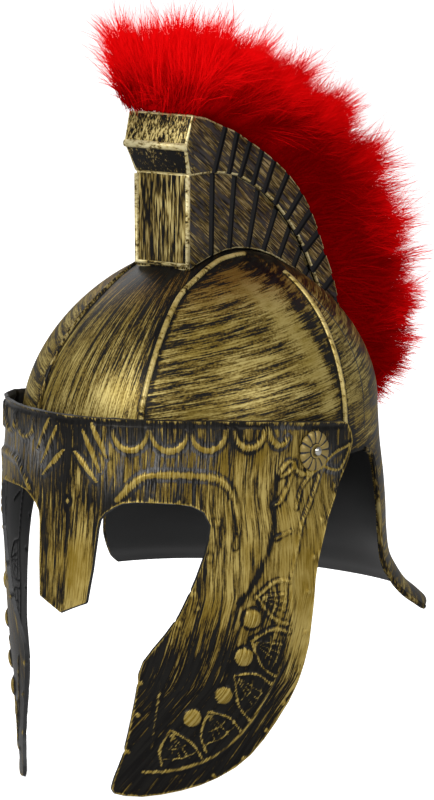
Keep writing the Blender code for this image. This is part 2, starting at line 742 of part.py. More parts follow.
def make_plume():
    """Feathers standing on the crest's top line as one lobed body, each high point a lock's tip."""
    stations = plume_stations()
    bm = bmesh.new()
    rings = []
    side = Vector((1, 0, 0))
    for k, (root, normal, reach) in enumerate(stations):
        root = root + normal * (SEAT_GAP * 2)
        ring = [bm.verts.new(root - side * PLUME_ROOT_HALF)]
        for i, share in enumerate(PLUME_FAN):
            turn = math.radians(PLUME_SPREAD) * share
            swing = LOCK_EVEN + (1 - LOCK_EVEN) * math.cos(LOCK_SWING * k + i)
            lobe = 1 + LOCK_DEPTH * swing * (1 if (i + k) % 2 else -1)
            length = PLUME_REACH * reach * lobe
            out = normal * math.cos(turn) + side * math.sin(turn)
            ring.append(bm.verts.new(root + out * length + side * PLUME_ROOT_HALF * share))
        ring.append(bm.verts.new(root + side * PLUME_ROOT_HALF))
        rings.append(ring)
    count = len(rings[0])
    for low, high in zip(rings, rings[1:]):
        for i in range(count):
            j = (i + 1) % count
            bm.faces.new((low[i], low[j], high[j], high[i]))
    bm.faces.new(rings[0])
    bm.faces.new(rings[-1])
    plume = new_object("plume", bm, parts)
    seat = between_stations(crest_line("top"))
    start, end = Vector(seat[0]), Vector(seat[-1])
    seat[0] = tuple(start + (Vector(seat[1]) - start).normalized() * SEAT_GAP)
    seat[-1] = tuple(end - (end - Vector(seat[-2])).normalized() * SEAT_GAP)
    inside = CHANNEL_HALF - SEAT_GAP
    backing = prism("plume_backing", [*shifted(seat, 3 * WALL), *shifted(seat, -WALL)[::-1]], inside)
    add_boolean(plume, backing, "UNION")
    return plume


def pivot_drill(reach):
    """A bar along the pivot axis, reach long on both sides."""
    bm = bmesh.new()
    bmesh.ops.create_cone(
        bm, cap_ends=True, segments=24, radius1=HOLE_RADIUS, radius2=HOLE_RADIUS, depth=2 * reach
    )
    place = Matrix.Translation((0, -PIVOT_FORWARD, BROW_PLANE - PIVOT_DROP))
    bmesh.ops.transform(bm, matrix=place @ Matrix.Rotation(math.pi / 2, 4, "Y"), verts=bm.verts[:])
    return helper_object("pivot_drill", bm)


def mask_at_pivot():
    """The mask's outer point and normal where the pivot axis leaves it."""
    level = -100 * PIVOT_DROP / FACE_DROP
    angle = halved(lambda at: mask_point(at, level).y < -PIVOT_FORWARD, 45, 90)
    return mask_point(angle, level), surface_normal(mask_point, angle, level)


def bowl_at_pivot():
    """The bowl's outer x where the pivot axis leaves it."""
    level = -100 * PIVOT_DROP / NECK_DROP
    angle = halved(lambda at: bowl_point(at, level).y < -PIVOT_FORWARD, 45, 90)
    return bowl_point(angle, level).x


def make_rosette(name, side):
    """A fluted washer on the mask's temple, seated on the mask's own slope."""
    point, normal = mask_at_pivot()
    bm = bmesh.new()
    bmesh.ops.create_cone(
        bm, cap_ends=True, segments=ROSETTE_PETALS * PETAL_PIECES, radius1=ROSETTE_RADIUS,
        radius2=ROSETTE_RADIUS * ROSETTE_TOP, depth=ROSETTE_THICKNESS,
    )
    for vert in bm.verts:
        turn = math.atan2(vert.co.y, vert.co.x)
        flute = 1 - FLUTE_DEPTH * (1 - math.cos(ROSETTE_PETALS * turn))
        vert.co.x *= flute
        vert.co.y *= flute
    seat = normal * (SEAT_GAP + ROSETTE_SAG + ROSETTE_THICKNESS / 2)
    turn = normal.to_track_quat("Z", "Y").to_matrix().to_4x4()
    bmesh.ops.transform(bm, matrix=Matrix.Translation(point + seat) @ turn, verts=bm.verts[:])
    if side < 0:
        bmesh.ops.scale(bm, vec=(-1, 1, 1), verts=bm.verts[:])
    return new_object(name, bm, parts)


def make_rivet(name, side):
    """A turned rivet: domed head outside the rosette, shank, and a spread tail inside the bowl."""
    point, normal = mask_at_pivot()
    slope = math.sqrt(1 - normal.x**2)
    outside = point.x + (SEAT_GAP + ROSETTE_SAG + ROSETTE_THICKNESS) / normal.x
    outside += SEAT_GAP + HEAD_RADIUS * slope
    inside = bowl_at_pivot() - WALL - SEAT_GAP - HEAD_RADIUS * SKULL_SLOPE
    profile = [
        (0, outside + HEAD_HEIGHT),
        (HEAD_RADIUS * RIVET_CROWN_RADIUS, outside + HEAD_HEIGHT * RIVET_CROWN_HEIGHT),
        (HEAD_RADIUS, outside),
        (SHANK_RADIUS, outside),
        (SHANK_RADIUS, inside),
        (HEAD_RADIUS, inside),
        (HEAD_RADIUS, inside - HEAD_HEIGHT / 2),
        (0, inside - HEAD_HEIGHT / 2),
    ]
    bm = bmesh.new()
    verts = [bm.verts.new((radius, 0, height)) for radius, height in profile]
    for a, b in zip(verts, verts[1:]):
        bm.edges.new((a, b))
    mesh = bpy.data.meshes.new(name)
    bm.to_mesh(mesh)
    bm.free()
    rivet = bpy.data.objects.new(name, mesh)
    parts.objects.link(rivet)
    screw = rivet.modifiers.new("Turn", "SCREW")
    screw.steps = screw.render_steps = RIVET_STEPS
    screw.use_merge_vertices = True
    screw.merge_threshold = 0.00001
    rivet.rotation_euler = (0, side * math.pi / 2, 0)
    rivet.location = (0, -PIVOT_FORWARD, BROW_PLANE - PIVOT_DROP)
    return rivet


for old in list(bpy.data.objects):
    bpy.data.objects.remove(old)
parts = bpy.data.collections.new("gladiator_helmet")
helpers = bpy.data.collections.new("helpers")
for collection in (parts, helpers):
    bpy.context.scene.collection.children.link(collection)

old_gold = material("dark_dry_brushed_gold", (0.20, 0.15, 0.06), 0.45, 0.4)
cheek_gold = material("mustard_gold_on_black", (0.30, 0.20, 0.06), 0.45, 0.4)
crest_gold = material("crest_gold_on_black", (0.24, 0.18, 0.08), 0.45, 0.4)
feather = material("red_feather", (0.55, 0.0, 0.0), 0.9)
bright_gold = material("rosette_gold", (0.45, 0.36, 0.14), 0.35, 0.7)
steel = material("rivet_steel", (0.5, 0.5, 0.5), 0.3, 1.0)

skull_bowl = make_skull_bowl()
face_mask = make_face_mask()
crest_box = make_crest_box(dome_cutter(SEAT_GAP))
plume = make_plume()
rosettes = [make_rosette("rosette_left", 1), make_rosette("rosette_right", -1)]
rivets = [make_rivet("rivet_left", 1), make_rivet("rivet_right", -1)]

drill = pivot_drill(2 * MASK_HALF_WIDTH)
for drilled in (skull_bowl, face_mask, *rosettes):
    add_boolean(drilled, drill, "DIFFERENCE")

for obj, finish in (
    (skull_bowl, old_gold),
    (face_mask, cheek_gold),
    (crest_box, crest_gold),
    (plume, feather),
    *((rosette, bright_gold) for rosette in rosettes),
    *((rivet, steel) for rivet in rivets),
):
    obj.data.materials.append(finish)

# The mask and its rosettes hang from an empty on the pivot axis, which tilts them.
tilt = bpy.data.objects.new("mask_tilt", None)
parts.objects.link(tilt)
tilt.location = (0, -PIVOT_FORWARD, BROW_PLANE - PIVOT_DROP)
bpy.context.view_layer.update()
for obj in (face_mask, *rosettes):
    obj.parent = tilt
    obj.matrix_parent_inverse = tilt.matrix_world.inverted()
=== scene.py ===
# Gladiator helmet: moulded black shells with gold dry-brushed over them, and a feather plume.

import math

import bpy
import numpy as np
from mathutils import Matrix, Vector


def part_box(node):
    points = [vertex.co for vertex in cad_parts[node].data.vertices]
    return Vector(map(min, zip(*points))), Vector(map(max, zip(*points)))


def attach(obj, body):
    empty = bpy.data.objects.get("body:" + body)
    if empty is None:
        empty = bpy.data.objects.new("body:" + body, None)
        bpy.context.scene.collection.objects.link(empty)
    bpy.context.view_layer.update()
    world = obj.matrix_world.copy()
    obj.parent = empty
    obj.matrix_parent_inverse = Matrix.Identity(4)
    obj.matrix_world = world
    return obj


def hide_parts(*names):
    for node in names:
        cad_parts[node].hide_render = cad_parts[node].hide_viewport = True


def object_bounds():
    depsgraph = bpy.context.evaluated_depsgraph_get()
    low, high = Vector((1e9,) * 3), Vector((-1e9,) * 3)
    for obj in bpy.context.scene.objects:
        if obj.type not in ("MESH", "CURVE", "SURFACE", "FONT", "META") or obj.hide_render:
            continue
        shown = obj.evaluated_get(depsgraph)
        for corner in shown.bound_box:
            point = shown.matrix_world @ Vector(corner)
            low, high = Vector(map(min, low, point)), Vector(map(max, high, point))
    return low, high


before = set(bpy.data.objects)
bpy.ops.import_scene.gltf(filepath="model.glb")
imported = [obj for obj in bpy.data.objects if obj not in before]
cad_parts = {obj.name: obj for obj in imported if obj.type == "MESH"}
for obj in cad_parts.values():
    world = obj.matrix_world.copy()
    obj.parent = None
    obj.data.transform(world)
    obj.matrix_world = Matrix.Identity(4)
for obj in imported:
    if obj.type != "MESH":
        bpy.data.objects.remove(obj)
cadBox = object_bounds()
bpy.ops.object.select_all(action="DESELECT")
print("frame loaded")

mm = 0.001
random = np.random.default_rng(7)

# Surfaces, in millimetres. The rows give a share of the drop, then shares of half width and half
# depth, then how square the plan is.
bowl = {
    "halfWidth": 95, "halfDepth": 112, "setBack": 2, "lean": 5, "browPlane": -90,
    "crown": 92, "fullness": 1.8, "neckDrop": 115, "wall": 2, "rimLevel": -17.8,
    "stretch": (1.8, 1.3), "grid": (290, 110), "ribRadius": 1.6, "earRadius": 1.5, "earLift": -0.4,
    "lineRadius": 0.6, "lineLift": -0.35,
    "plan": [
        (0, 1, 1, 2), (0.18, 1.01, 0.95, 2.18), (0.35, 1.06, 0.89, 2.3), (0.48, 1.09, 0.852, 2.36),
        (0.61, 1.102, 0.842, 2.38), (0.74, 1.12, 0.86, 2.38), (0.83, 1.158, 0.922, 2.36),
        (0.91, 1.213, 0.99, 2.34), (0.96, 1.27, 1.06, 2.32), (1, 1.31, 1.115, 2.3),
    ],
    # angle round from the front, level in hundredths of the neck drop
    "earEdge": [
        (104.5, -17.8), (107.3, -19.1), (109.9, -22.1), (110.3, -27), (109.6, -34.2),
        (109.1, -42.9), (109, -60), (109.2, -77.9), (111, -86.4), (114.4, -95), (117.4, -100),
    ],
    "swath": [(62, 62), (74, 48), (84, 30), (88, 14), (88, 4)],
    # angle and latitude
    "ribs": [
        [(23, -8), (22.6, 6), (22.6, 14), (23.9, 29), (25.5, 42), (28, 52), (34, 59), (44, 66),
         (59, 71), (80, 73), (98, 73)],
        [(94.5, -8), (94.3, 8), (95.8, 23), (98.6, 35), (103, 48), (108, 59)],
    ],
    "fineLine": [
        (106.1, -8), (106.9, -1), (107.2, 10.7), (108.4, 20.7), (109, 28.6), (108.5, 37.7),
        (107.6, 44.8), (110.4, 54.7), (118, 62),
    ],
}
mask = {
    "halfWidth": 101, "halfDepth": 118, "drop": 200, "wall": 2,
    "stretch": (1.85, 2.0), "grid": (376, 232),
    "plan": [
        (-0.08, 1, 1, 2.15), (0.05, 1, 1, 2.15), (0.12, 1.002, 1.008, 2.18),
        (0.18, 1.01, 1.012, 2.16), (0.27, 1.045, 1.016, 2.06), (0.4, 1.06, 1.016, 1.97),
        (0.52, 1.068, 1.01, 1.92), (0.66, 1.055, 1.006, 1.88), (0.81, 1, 1.075, 1.72),
        (0.97, 0.985, 1.17, 1.5), (1.05, 0.975, 1.203, 1.42),
    ],
    "nasal": {"reach": 7.5, "start": 0.18, "tip": 0.497, "full": 11, "fade": 24, "sweep": 1.4},
    # angle round from the front and share of the drop, over the brow, down the cheek's rear edge,
    # up its front edge, round the eye and down the nasal
    "edge": [
        (0, -0.048), (15, -0.05), (32, -0.05), (48, -0.046), (62, -0.036), (76, -0.02),
        (89.5, -0.004), (91.6, 0.006), (93, 0.03), (93.6, 0.06), (91.6, 0.108), (89.2, 0.15),
        (85.9, 0.203), (81.4, 0.258), (79, 0.308), (76.8, 0.362), (75.2, 0.42), (74.3, 0.476),
        (73.3, 0.533), (72.4, 0.597), (71, 0.655), (69.7, 0.708), (67.8, 0.763), (64.8, 0.817),
        (61.4, 0.867), (58.1, 0.908), (54.4, 0.941), (50.3, 0.966), (46.3, 0.984), (42.2, 0.995),
        (37.7, 1.003), (33.4, 1.006), (29, 1.001), (26.2, 0.994), (25.1, 0.981), (25.2, 0.95),
        (25.8, 0.893), (25.4, 0.822), (24.7, 0.751), (24, 0.697), (23.7, 0.662), (24.6, 0.63),
        (27.4, 0.592), (31.1, 0.548), (34.7, 0.497), (37.6, 0.439), (39.9, 0.388), (42, 0.332),
        (43.3, 0.288), (44.3, 0.24), (42.7, 0.203), (39.1, 0.185), (34.5, 0.179), (29.8, 0.177),
        (21.9, 0.176), (17.9, 0.181), (15.3, 0.193), (12.5, 0.211), (10.9, 0.23), (10.5, 0.255),
        (10.1, 0.371), (9.2, 0.462), (0, 0.497),
    ],
}


def throughTable(rows, column, at):
    # smooth curve through one column of a table, by its first column
    rows = np.array(rows, float)
    places, values = rows[:, 0], rows[:, column]
    at = np.clip(at, places[0], places[-1])
    last = len(places) - 1
    i = np.clip(np.searchsorted(places, at) - 1, 0, last - 1)
    low, high = np.maximum(np.arange(last + 1) - 1, 0), np.minimum(np.arange(last + 1) + 1, last)
    slope = (values[high] - values[low]) / (places[high] - places[low])
    span = places[i + 1] - places[i]
    t = (at - places[i]) / span
    start = values[i] * (2 * t**3 - 3 * t**2 + 1) + slope[i] * span * (t**3 - 2 * t**2 + t)
    return start + values[i + 1] * (3 * t**2 - 2 * t**3) + slope[i + 1] * span * (t**3 - t**2)


def held(values):
    return np.clip(values, 0, 1)


def hump(gap, reach):
    return np.exp(-((gap / reach) ** 2))


def roundPlan(angle, halfWidth, halfDepth, square):
    across, along = np.sin(np.radians(angle)), np.cos(np.radians(angle))
    x = halfWidth * np.sign(across) * np.abs(across) ** (2 / square)
    return x, -halfDepth * np.sign(along) * np.abs(along) ** (2 / square)


def bowlPoint(angle, level):
    angle, level = np.broadcast_arrays(np.asarray(angle, float), np.asarray(level, float))
    turn = np.radians(np.clip(level, 0, 90))
    share = np.maximum(np.cos(turn), 0) ** (2 / bowl["fullness"])
    rise = np.sin(turn) ** (2 / bowl["fullness"])
    drop = held(-level / 100)
    above = level >= 0
    width = np.where(above, share, throughTable(bowl["plan"], 1, drop))
    depth = np.where(above, share, throughTable(bowl["plan"], 2, drop))
    square = np.where(above, 2.0, throughTable(bowl["plan"], 3, drop))
    x, y = roundPlan(angle, bowl["halfWidth"] * width, bowl["halfDepth"] * depth, square)
    y = y + bowl["setBack"] + bowl["lean"] * np.sin(turn)
    z = bowl["browPlane"] + np.where(above, bowl["crown"] * rise, -bowl["neckDrop"] * drop)
    return np.stack([x, y, z], -1)


def maskPoint(angle, level):
    angle, level = np.broadcast_arrays(np.asarray(angle, float), np.asarray(level, float))
    drop = -level / 100
    x, y = roundPlan(
        angle,
        mask["halfWidth"] * throughTable(mask["plan"], 1, drop),
        mask["halfDepth"] * throughTable(mask["plan"], 2, drop),
        throughTable(mask["plan"], 3, drop),
    )
    nasal = mask["nasal"]
    along = held((drop - nasal["start"]) / (nasal["tip"] - nasal["start"]))
    near = held((nasal["fade"] - np.abs(angle)) / (nasal["fade"] - nasal["full"]))
    y = y - nasal["reach"] * along ** nasal["sweep"] * near**2 * (3 - 2 * near)
    return np.stack([x, y, bowl["browPlane"] - mask["drop"] * drop], -1)


def normalsOf(surface, angle, level):
    across = surface(angle + 0.5, level) - surface(angle - 0.5, level)
    up = surface(angle, level + 0.5) - surface(angle, level - 0.5)
    out = np.cross(across, up)
    return out / np.maximum(np.linalg.norm(out, axis=1, keepdims=True), 1e-9)


def roundedLine(points, steps=6):
    # the points joined by a smooth line, steps pieces to a span
    points = np.array(points, float)
    padded = np.vstack([2 * points[0] - points[1], points, 2 * points[-1] - points[-2]])
    t = np.linspace(0, 1, steps, endpoint=False)[:, None]
    line = []
    for a, b, c, d in zip(padded, padded[1:], padded[2:], padded[3:]):
        line.append(0.5 * (2 * b + (c - a) * t + (2 * a - 5 * b + 4 * c - d) * t**2
                           + (3 * b - a - 3 * c + d) * t**3))
    return np.vstack([*line, points[-1:]])


def nearestOn(line, places):
    # from every place to a line: the distance, the share along it and the nearest point
    best = np.full(len(places), 1e9)
    share = np.zeros(len(places))
    found = places.copy()
    for i, (a, b) in enumerate(zip(line[:-1], line[1:])):
        run = b - a
        t = held(((places - a) @ run) / max(run @ run, 1e-12))
        spot = a + t[:, None] * run
        gap = np.linalg.norm(places - spot, axis=1)
        nearer = gap < best
        best[nearer], found[nearer] = gap[nearer], spot[nearer]
        share[nearer] = (i + t[nearer]) / (len(line) - 1)
    return best, share, found


def select(piece):
    bpy.ops.object.select_all(action="DESELECT")
    piece.select_set(True)
    bpy.context.view_layer.objects.active = piece


def applyModifiers(piece):
    select(piece)
    for modifier in list(piece.modifiers):
        bpy.ops.object.modifier_apply(modifier=modifier.name)


def closeUp(piece, merge=0.0, outwards=True):
    # doubles merged within so many millimetres, and faces turned outwards
    select(piece)
    bpy.ops.object.mode_set(mode="EDIT")
    bpy.ops.mesh.select_all(action="SELECT")
    if merge:
        bpy.ops.mesh.remove_doubles(threshold=merge * mm)
    if outwards:
        bpy.ops.mesh.normals_make_consistent(inside=False)
    bpy.ops.object.mode_set(mode="OBJECT")


def smoothBelow(piece, degrees):
    select(piece)
    bpy.ops.object.shade_smooth_by_angle(angle=math.radians(degrees))


def mirrored(piece):
    piece.data.transform(Matrix.Scale(-1, 4, (1, 0, 0)))
    piece.data.flip_normals()


def newPiece(name, verts, faces, edges=()):
    data = bpy.data.meshes.new(name)
    data.from_pydata(verts, edges, faces)
    piece = bpy.data.objects.new(name, data)
    bpy.context.scene.collection.objects.link(piece)
    return piece


def wear(piece, *materials):
    for material in materials:
        piece.data.materials.append(material)


def readOut(items, field, width=1, kind=np.int32):
    flat = np.zeros(len(items) * width, dtype=kind)
    items.foreach_get(field, flat)
    return flat.reshape(-1, width) if width > 1 else flat


def placeVertices(piece, places):
    piece.data.vertices.foreach_set("co", np.ascontiguousarray(places, dtype=float).ravel())
    piece.data.update()


def paintValue(piece, name, values):
    layer = piece.data.attributes.new(name, "FLOAT", "POINT")
    layer.data.foreach_set("value", np.ascontiguousarray(values, dtype=np.float32))


def paintLayout(piece, name, flat):
    # a UV map from one flat place for each vertex
    layer = piece.data.uv_layers.new(name=name)
    corners = readOut(piece.data.loops, "vertex_index")
    layer.data.foreach_set("uv", np.ascontiguousarray(flat[corners], dtype=np.float32).ravel())


def insideOutline(places, outline):
    inside = np.zeros(len(places), bool)
    x, y = places[:, 0], places[:, 1]
    for (ax, ay), (bx, by) in zip(outline, np.roll(outline, -1, axis=0)):
        crosses = (ay > y) != (by > y)
        if by != ay:
            inside ^= crosses & (x < (bx - ax) * (y - ay) / (by - ay) + ax)
    return inside


def cutSheet(name, outline, stretch, columns, rows):
    # a flat grid trimmed to an outline, with its edge pulled onto that outline; stretch turns
    # angle and level into about the same lengths
    outline = np.array(outline, float)
    low, high = outline.min(0), outline.max(0)
    bpy.ops.mesh.primitive_grid_add(x_subdivisions=columns, y_subdivisions=rows, size=2)
    sheet = bpy.context.object
    sheet.name = name
    flat = (readOut(sheet.data.vertices, "co", 3, float)[:, :2] + 1) / 2 * (high - low) + low
    centres = flat[readOut(sheet.data.loops, "vertex_index").reshape(-1, 4)].mean(1)
    outside = ~insideOutline(centres, outline)
    placeVertices(sheet, np.column_stack([flat, np.zeros(len(flat))]))
    select(sheet)
    bpy.ops.object.mode_set(mode="EDIT")
    bpy.ops.mesh.select_mode(type="FACE")
    bpy.ops.mesh.select_all(action="DESELECT")
    bpy.ops.object.mode_set(mode="OBJECT")
    sheet.data.polygons.foreach_set("select", outside)
    bpy.ops.object.mode_set(mode="EDIT")
    bpy.ops.mesh.delete(type="FACE")
    bpy.ops.object.mode_set(mode="OBJECT")
    flat = readOut(sheet.data.vertices, "co", 3, float)[:, :2]
    uses = np.bincount(readOut(sheet.data.loops, "edge_index"), minlength=len(sheet.data.edges))
    rim = np.unique(readOut(sheet.data.edges, "vertices", 2)[uses == 1])
    scale = np.array(stretch)
    closed = np.vstack([outline, outline[:1]]) * scale
    flat[rim] = nearestOn(closed, flat[rim] * scale)[2] / scale
    return sheet, flat


def wallSheet(sheet, thickness, rim):
    # closed wall inwards of the sheet, with its inner face in the piece's second material
    solidify = sheet.modifiers.new("wall", "SOLIDIFY")
    solidify.thickness = thickness * mm
    solidify.offset = -1
    solidify.use_even_offset = False
    solidify.material_offset = 1
    solidify.material_offset_rim = rim
    applyModifiers(sheet)
    smoothBelow(sheet, 50)


def beadAlong(name, spots, radius):
    bpy.ops.curve.primitive_nurbs_path_add()
    curve = bpy.context.object
    curve.name = name
    curve.data.splines.clear()
    spline = curve.data.splines.new("POLY")
    spline.points.add(len(spots) - 1)
    for point, spot in zip(spline.points, spots):
        point.co = (*(spot * mm), 1)
    curve.data.bevel_depth = radius * mm
    curve.data.bevel_resolution = 3
    curve.data.use_fill_caps = True
    select(curve)
    bpy.ops.object.convert(target="MESH")
    bead = bpy.context.object
    closeUp(bead, 0.01)
    bpy.ops.object.shade_smooth()
    return bead


def joined(pieces, name):
    bpy.ops.object.select_all(action="DESELECT")
    for piece in pieces:
        piece.select_set(True)
    bpy.context.view_layer.objects.active = pieces[0]
    if len(pieces) > 1:
        bpy.ops.object.join()
    pieces[0].name = name
    return pieces[0]


# Materials
class Nodes:
    # short words for building one material's node tree
    def __init__(self, name):
        self.material = bpy.data.materials.new(name)
        self.material.use_nodes = True
        self.tree = self.material.node_tree

    def give(self, inputs, node=None):
        # values or other nodes' outputs for a node's inputs, the shader's if no node is named
        node = node or self.tree.nodes["Principled BSDF"]
        for key, value in inputs.items():
            if isinstance(value, bpy.types.NodeSocket):
                self.tree.links.new(value, node.inputs[key])
            else:
                node.inputs[key].default_value = value

    def add(self, kind, output, inputs=None, **settings):
        node = self.tree.nodes.new("ShaderNode" + kind)
        for key, value in settings.items():
            setattr(node, key, value)
        self.give(inputs or {}, node)
        return node.outputs[output]

    def sum(self, operation, a, b):
        return self.add("Math", 0, {0: a, 1: b}, operation=operation)

    def attribute(self, name):
        return self.add("Attribute", "Fac", attribute_name=name)

    def blend(self, share, a, b):
        a, b = ((*c, 1) if isinstance(c, tuple) else c for c in (a, b))
        return self.add("Mix", 2, {0: share, 6: a, 7: b}, data_type="RGBA")

    def noise(self, spot, scale, detail):
        return self.add("TexNoise", "Fac", {"Vector": spot, "Scale": scale, "Detail": detail})

    def strokes(self, spot, along, across, detail, seed=0.0, turn=(0, 0, 0)):
        # noise drawn out along the first axis; the numbers are strokes to a unit of the layout
        place = self.add("Mapping", 0, {"Vector": spot, "Rotation": turn,
                                        "Location": (seed, seed * 0.7, seed * 0.3)})
        drawn = self.add("Mapping", 0, {"Vector": place, "Scale": (along, across, across)})
        return self.add("TexNoise", "Fac", {"Vector": drawn, "Scale": 1.0, "Detail": detail,
                                            "Roughness": 0.62})

    def smooth(self, value, low, high):
        return self.add("MapRange", 0, {"Value": value, "From Min": low, "From Max": high},
                        interpolation_type="SMOOTHSTEP")


paint = {
    "black": (0.004, 0.004, 0.0045),
    "slate": (0.0085, 0.0083, 0.0080),
    # grey of a painted reflection on the black
    "sheen": (0.230, 0.225, 0.220),
    "deepGold": (0.110, 0.070, 0.012),
    "paleGold": (0.460, 0.350, 0.110),
    "copper": (0.130, 0.060, 0.012),
    "inside": (0.0040, 0.0043, 0.0046),
}


def paintOver(n, thin, wide, patch, gild, gold, pale, ground, onSheet):
    # gold over black: gild says how much gold lies at a place and strokes break it up; on a
    # sheet with its own attributes raised lines keep their gold
    mixed = n.sum("ADD", n.sum("MULTIPLY", thin, 0.6), n.sum("MULTIPLY", wide, 0.4))
    level = n.sum("ADD", n.sum("MULTIPLY", n.sum("SUBTRACT", mixed, 0.5), 3.8), 0.5)
    over = n.sum("SUBTRACT", gild, level)
    cover = n.smooth(over, -0.09, 0.11)
    light = n.smooth(n.sum("ADD", n.sum("MULTIPLY", thin, -0.9), patch), -0.20, 0.35)
    if onSheet:
        shine = n.sum("ADD", n.attribute("relief"), n.sum("MULTIPLY", level, -0.6))
        kept = n.smooth(shine, 0.0, 0.40)
        cover = n.sum("MAXIMUM", cover, kept)
        # raised lines take paler gold: the gold dry-brushed onto them, partly a painted highlight
        light = n.sum("MAXIMUM", light, kept)
    colour = n.blend(n.smooth(over, 0.0, 0.5), paint["deepGold"], n.blend(light, gold, pale))
    dark = n.blend(n.smooth(wide, 0.42, 0.62), paint["black"], ground)
    if onSheet:
        # colour of the raised lines: dry-brushed gold, with a painted highlight in its paler parts
        ridgeGoldAndHighlight = n.blend(n.smooth(thin, 0.36, 0.60), pale, gold)
        colour = n.blend(n.sum("MULTIPLY", kept, 0.85), colour, ridgeGoldAndHighlight)
        colour = n.blend(n.attribute("warm"), colour, paint["copper"])
        # painted reflection: a grey sheen laid over the black where the sheet's sheen attribute says,
        # broken by strokes
        paintedSheen = n.sum("MULTIPLY", n.attribute("sheen"), n.smooth(thin, 0.60, 0.40))
        dark = n.blend(paintedSheen, dark, paint["sheen"])
    n.give({
        "Base Color": n.blend(cover, dark, colour),
        "Specular IOR Level": 0.10, "Specular Tint": (1.0, 0.92, 0.76, 1),
        "Roughness": n.sum("ADD", n.sum("MULTIPLY", cover, 0.10), 0.36),
        "Metallic": n.sum("MULTIPLY", cover, 0.35),
        "Normal": n.add("Bump", 0, {"Height": thin, "Strength": 0.35, "Distance": 0.0003}),
    })
    return n.material


def brushedPaint(name, gold, pale, fine, coarse, mottle):
    # strokes run along the first axis of the piece's own layout, one unit to the centimetre
    n = Nodes(name)
    spot = n.add("UVMap", 0, uv_map="brush")
    thin = n.strokes(spot, *fine, 2.5)
    speckle = n.strokes(spot, fine[1] * 0.5, fine[1] * 0.8, 2.0, seed=5.3)
    thin = n.sum("ADD", n.sum("MULTIPLY", thin, 1 - mottle), n.sum("MULTIPLY", speckle, mottle))
    wide = n.strokes(spot, *coarse, 2.0, seed=3.1)
    patch = n.strokes(spot, 0.35, 0.5, 2.0, seed=9.7)
    return paintOver(n, thin, wide, patch, n.attribute("gild"), gold, pale, paint["slate"], True)


def crestPaint(name, gold, pale, turn, ground, gildLevel, along=80, across=1400):
    # strokes on Object coordinates, drawn out along one direction of the piece
    n = Nodes(name)
    spot = n.add("TexCoord", "Object")
    turn = [math.radians(t) for t in turn]
    thin = n.strokes(spot, along, across, 2.5, turn=turn)
    wide = n.strokes(spot, along * 0.5, across * 0.3, 2.0, seed=0.31, turn=turn)
    patch = n.noise(spot, 60.0, 2.0)
    gild = n.sum("ADD", n.sum("MULTIPLY", n.sum("SUBTRACT", patch, 0.5), 0.9), gildLevel)
    return paintOver(n, thin, wide, patch, gild, gold, pale, ground, False)


def plainMaterial(name, colour, roughness, metallic=0.0, grain=900.0, depth=0.25):
    # an even finish with a fine grain in it
    n = Nodes(name)
    fine = n.noise(n.add("TexCoord", "Object"), grain, 3.0)
    n.give({
        "Base Color": n.blend(fine, tuple(c * 0.7 for c in colour), colour),
        "Metallic": metallic, "Roughness": roughness,
        "Normal": n.add("Bump", 0, {"Height": fine, "Strength": depth, "Distance": 0.0002}),
    })
    return n.material


insideBlack = plainMaterial("insideBlack", paint["inside"], 0.5)
maskPaint = brushedPaint("maskPaint", (0.21, 0.135, 0.014), paint["paleGold"], (0.65, 13),
                         (0.25, 4.0), 0.15)
print("materials ready")

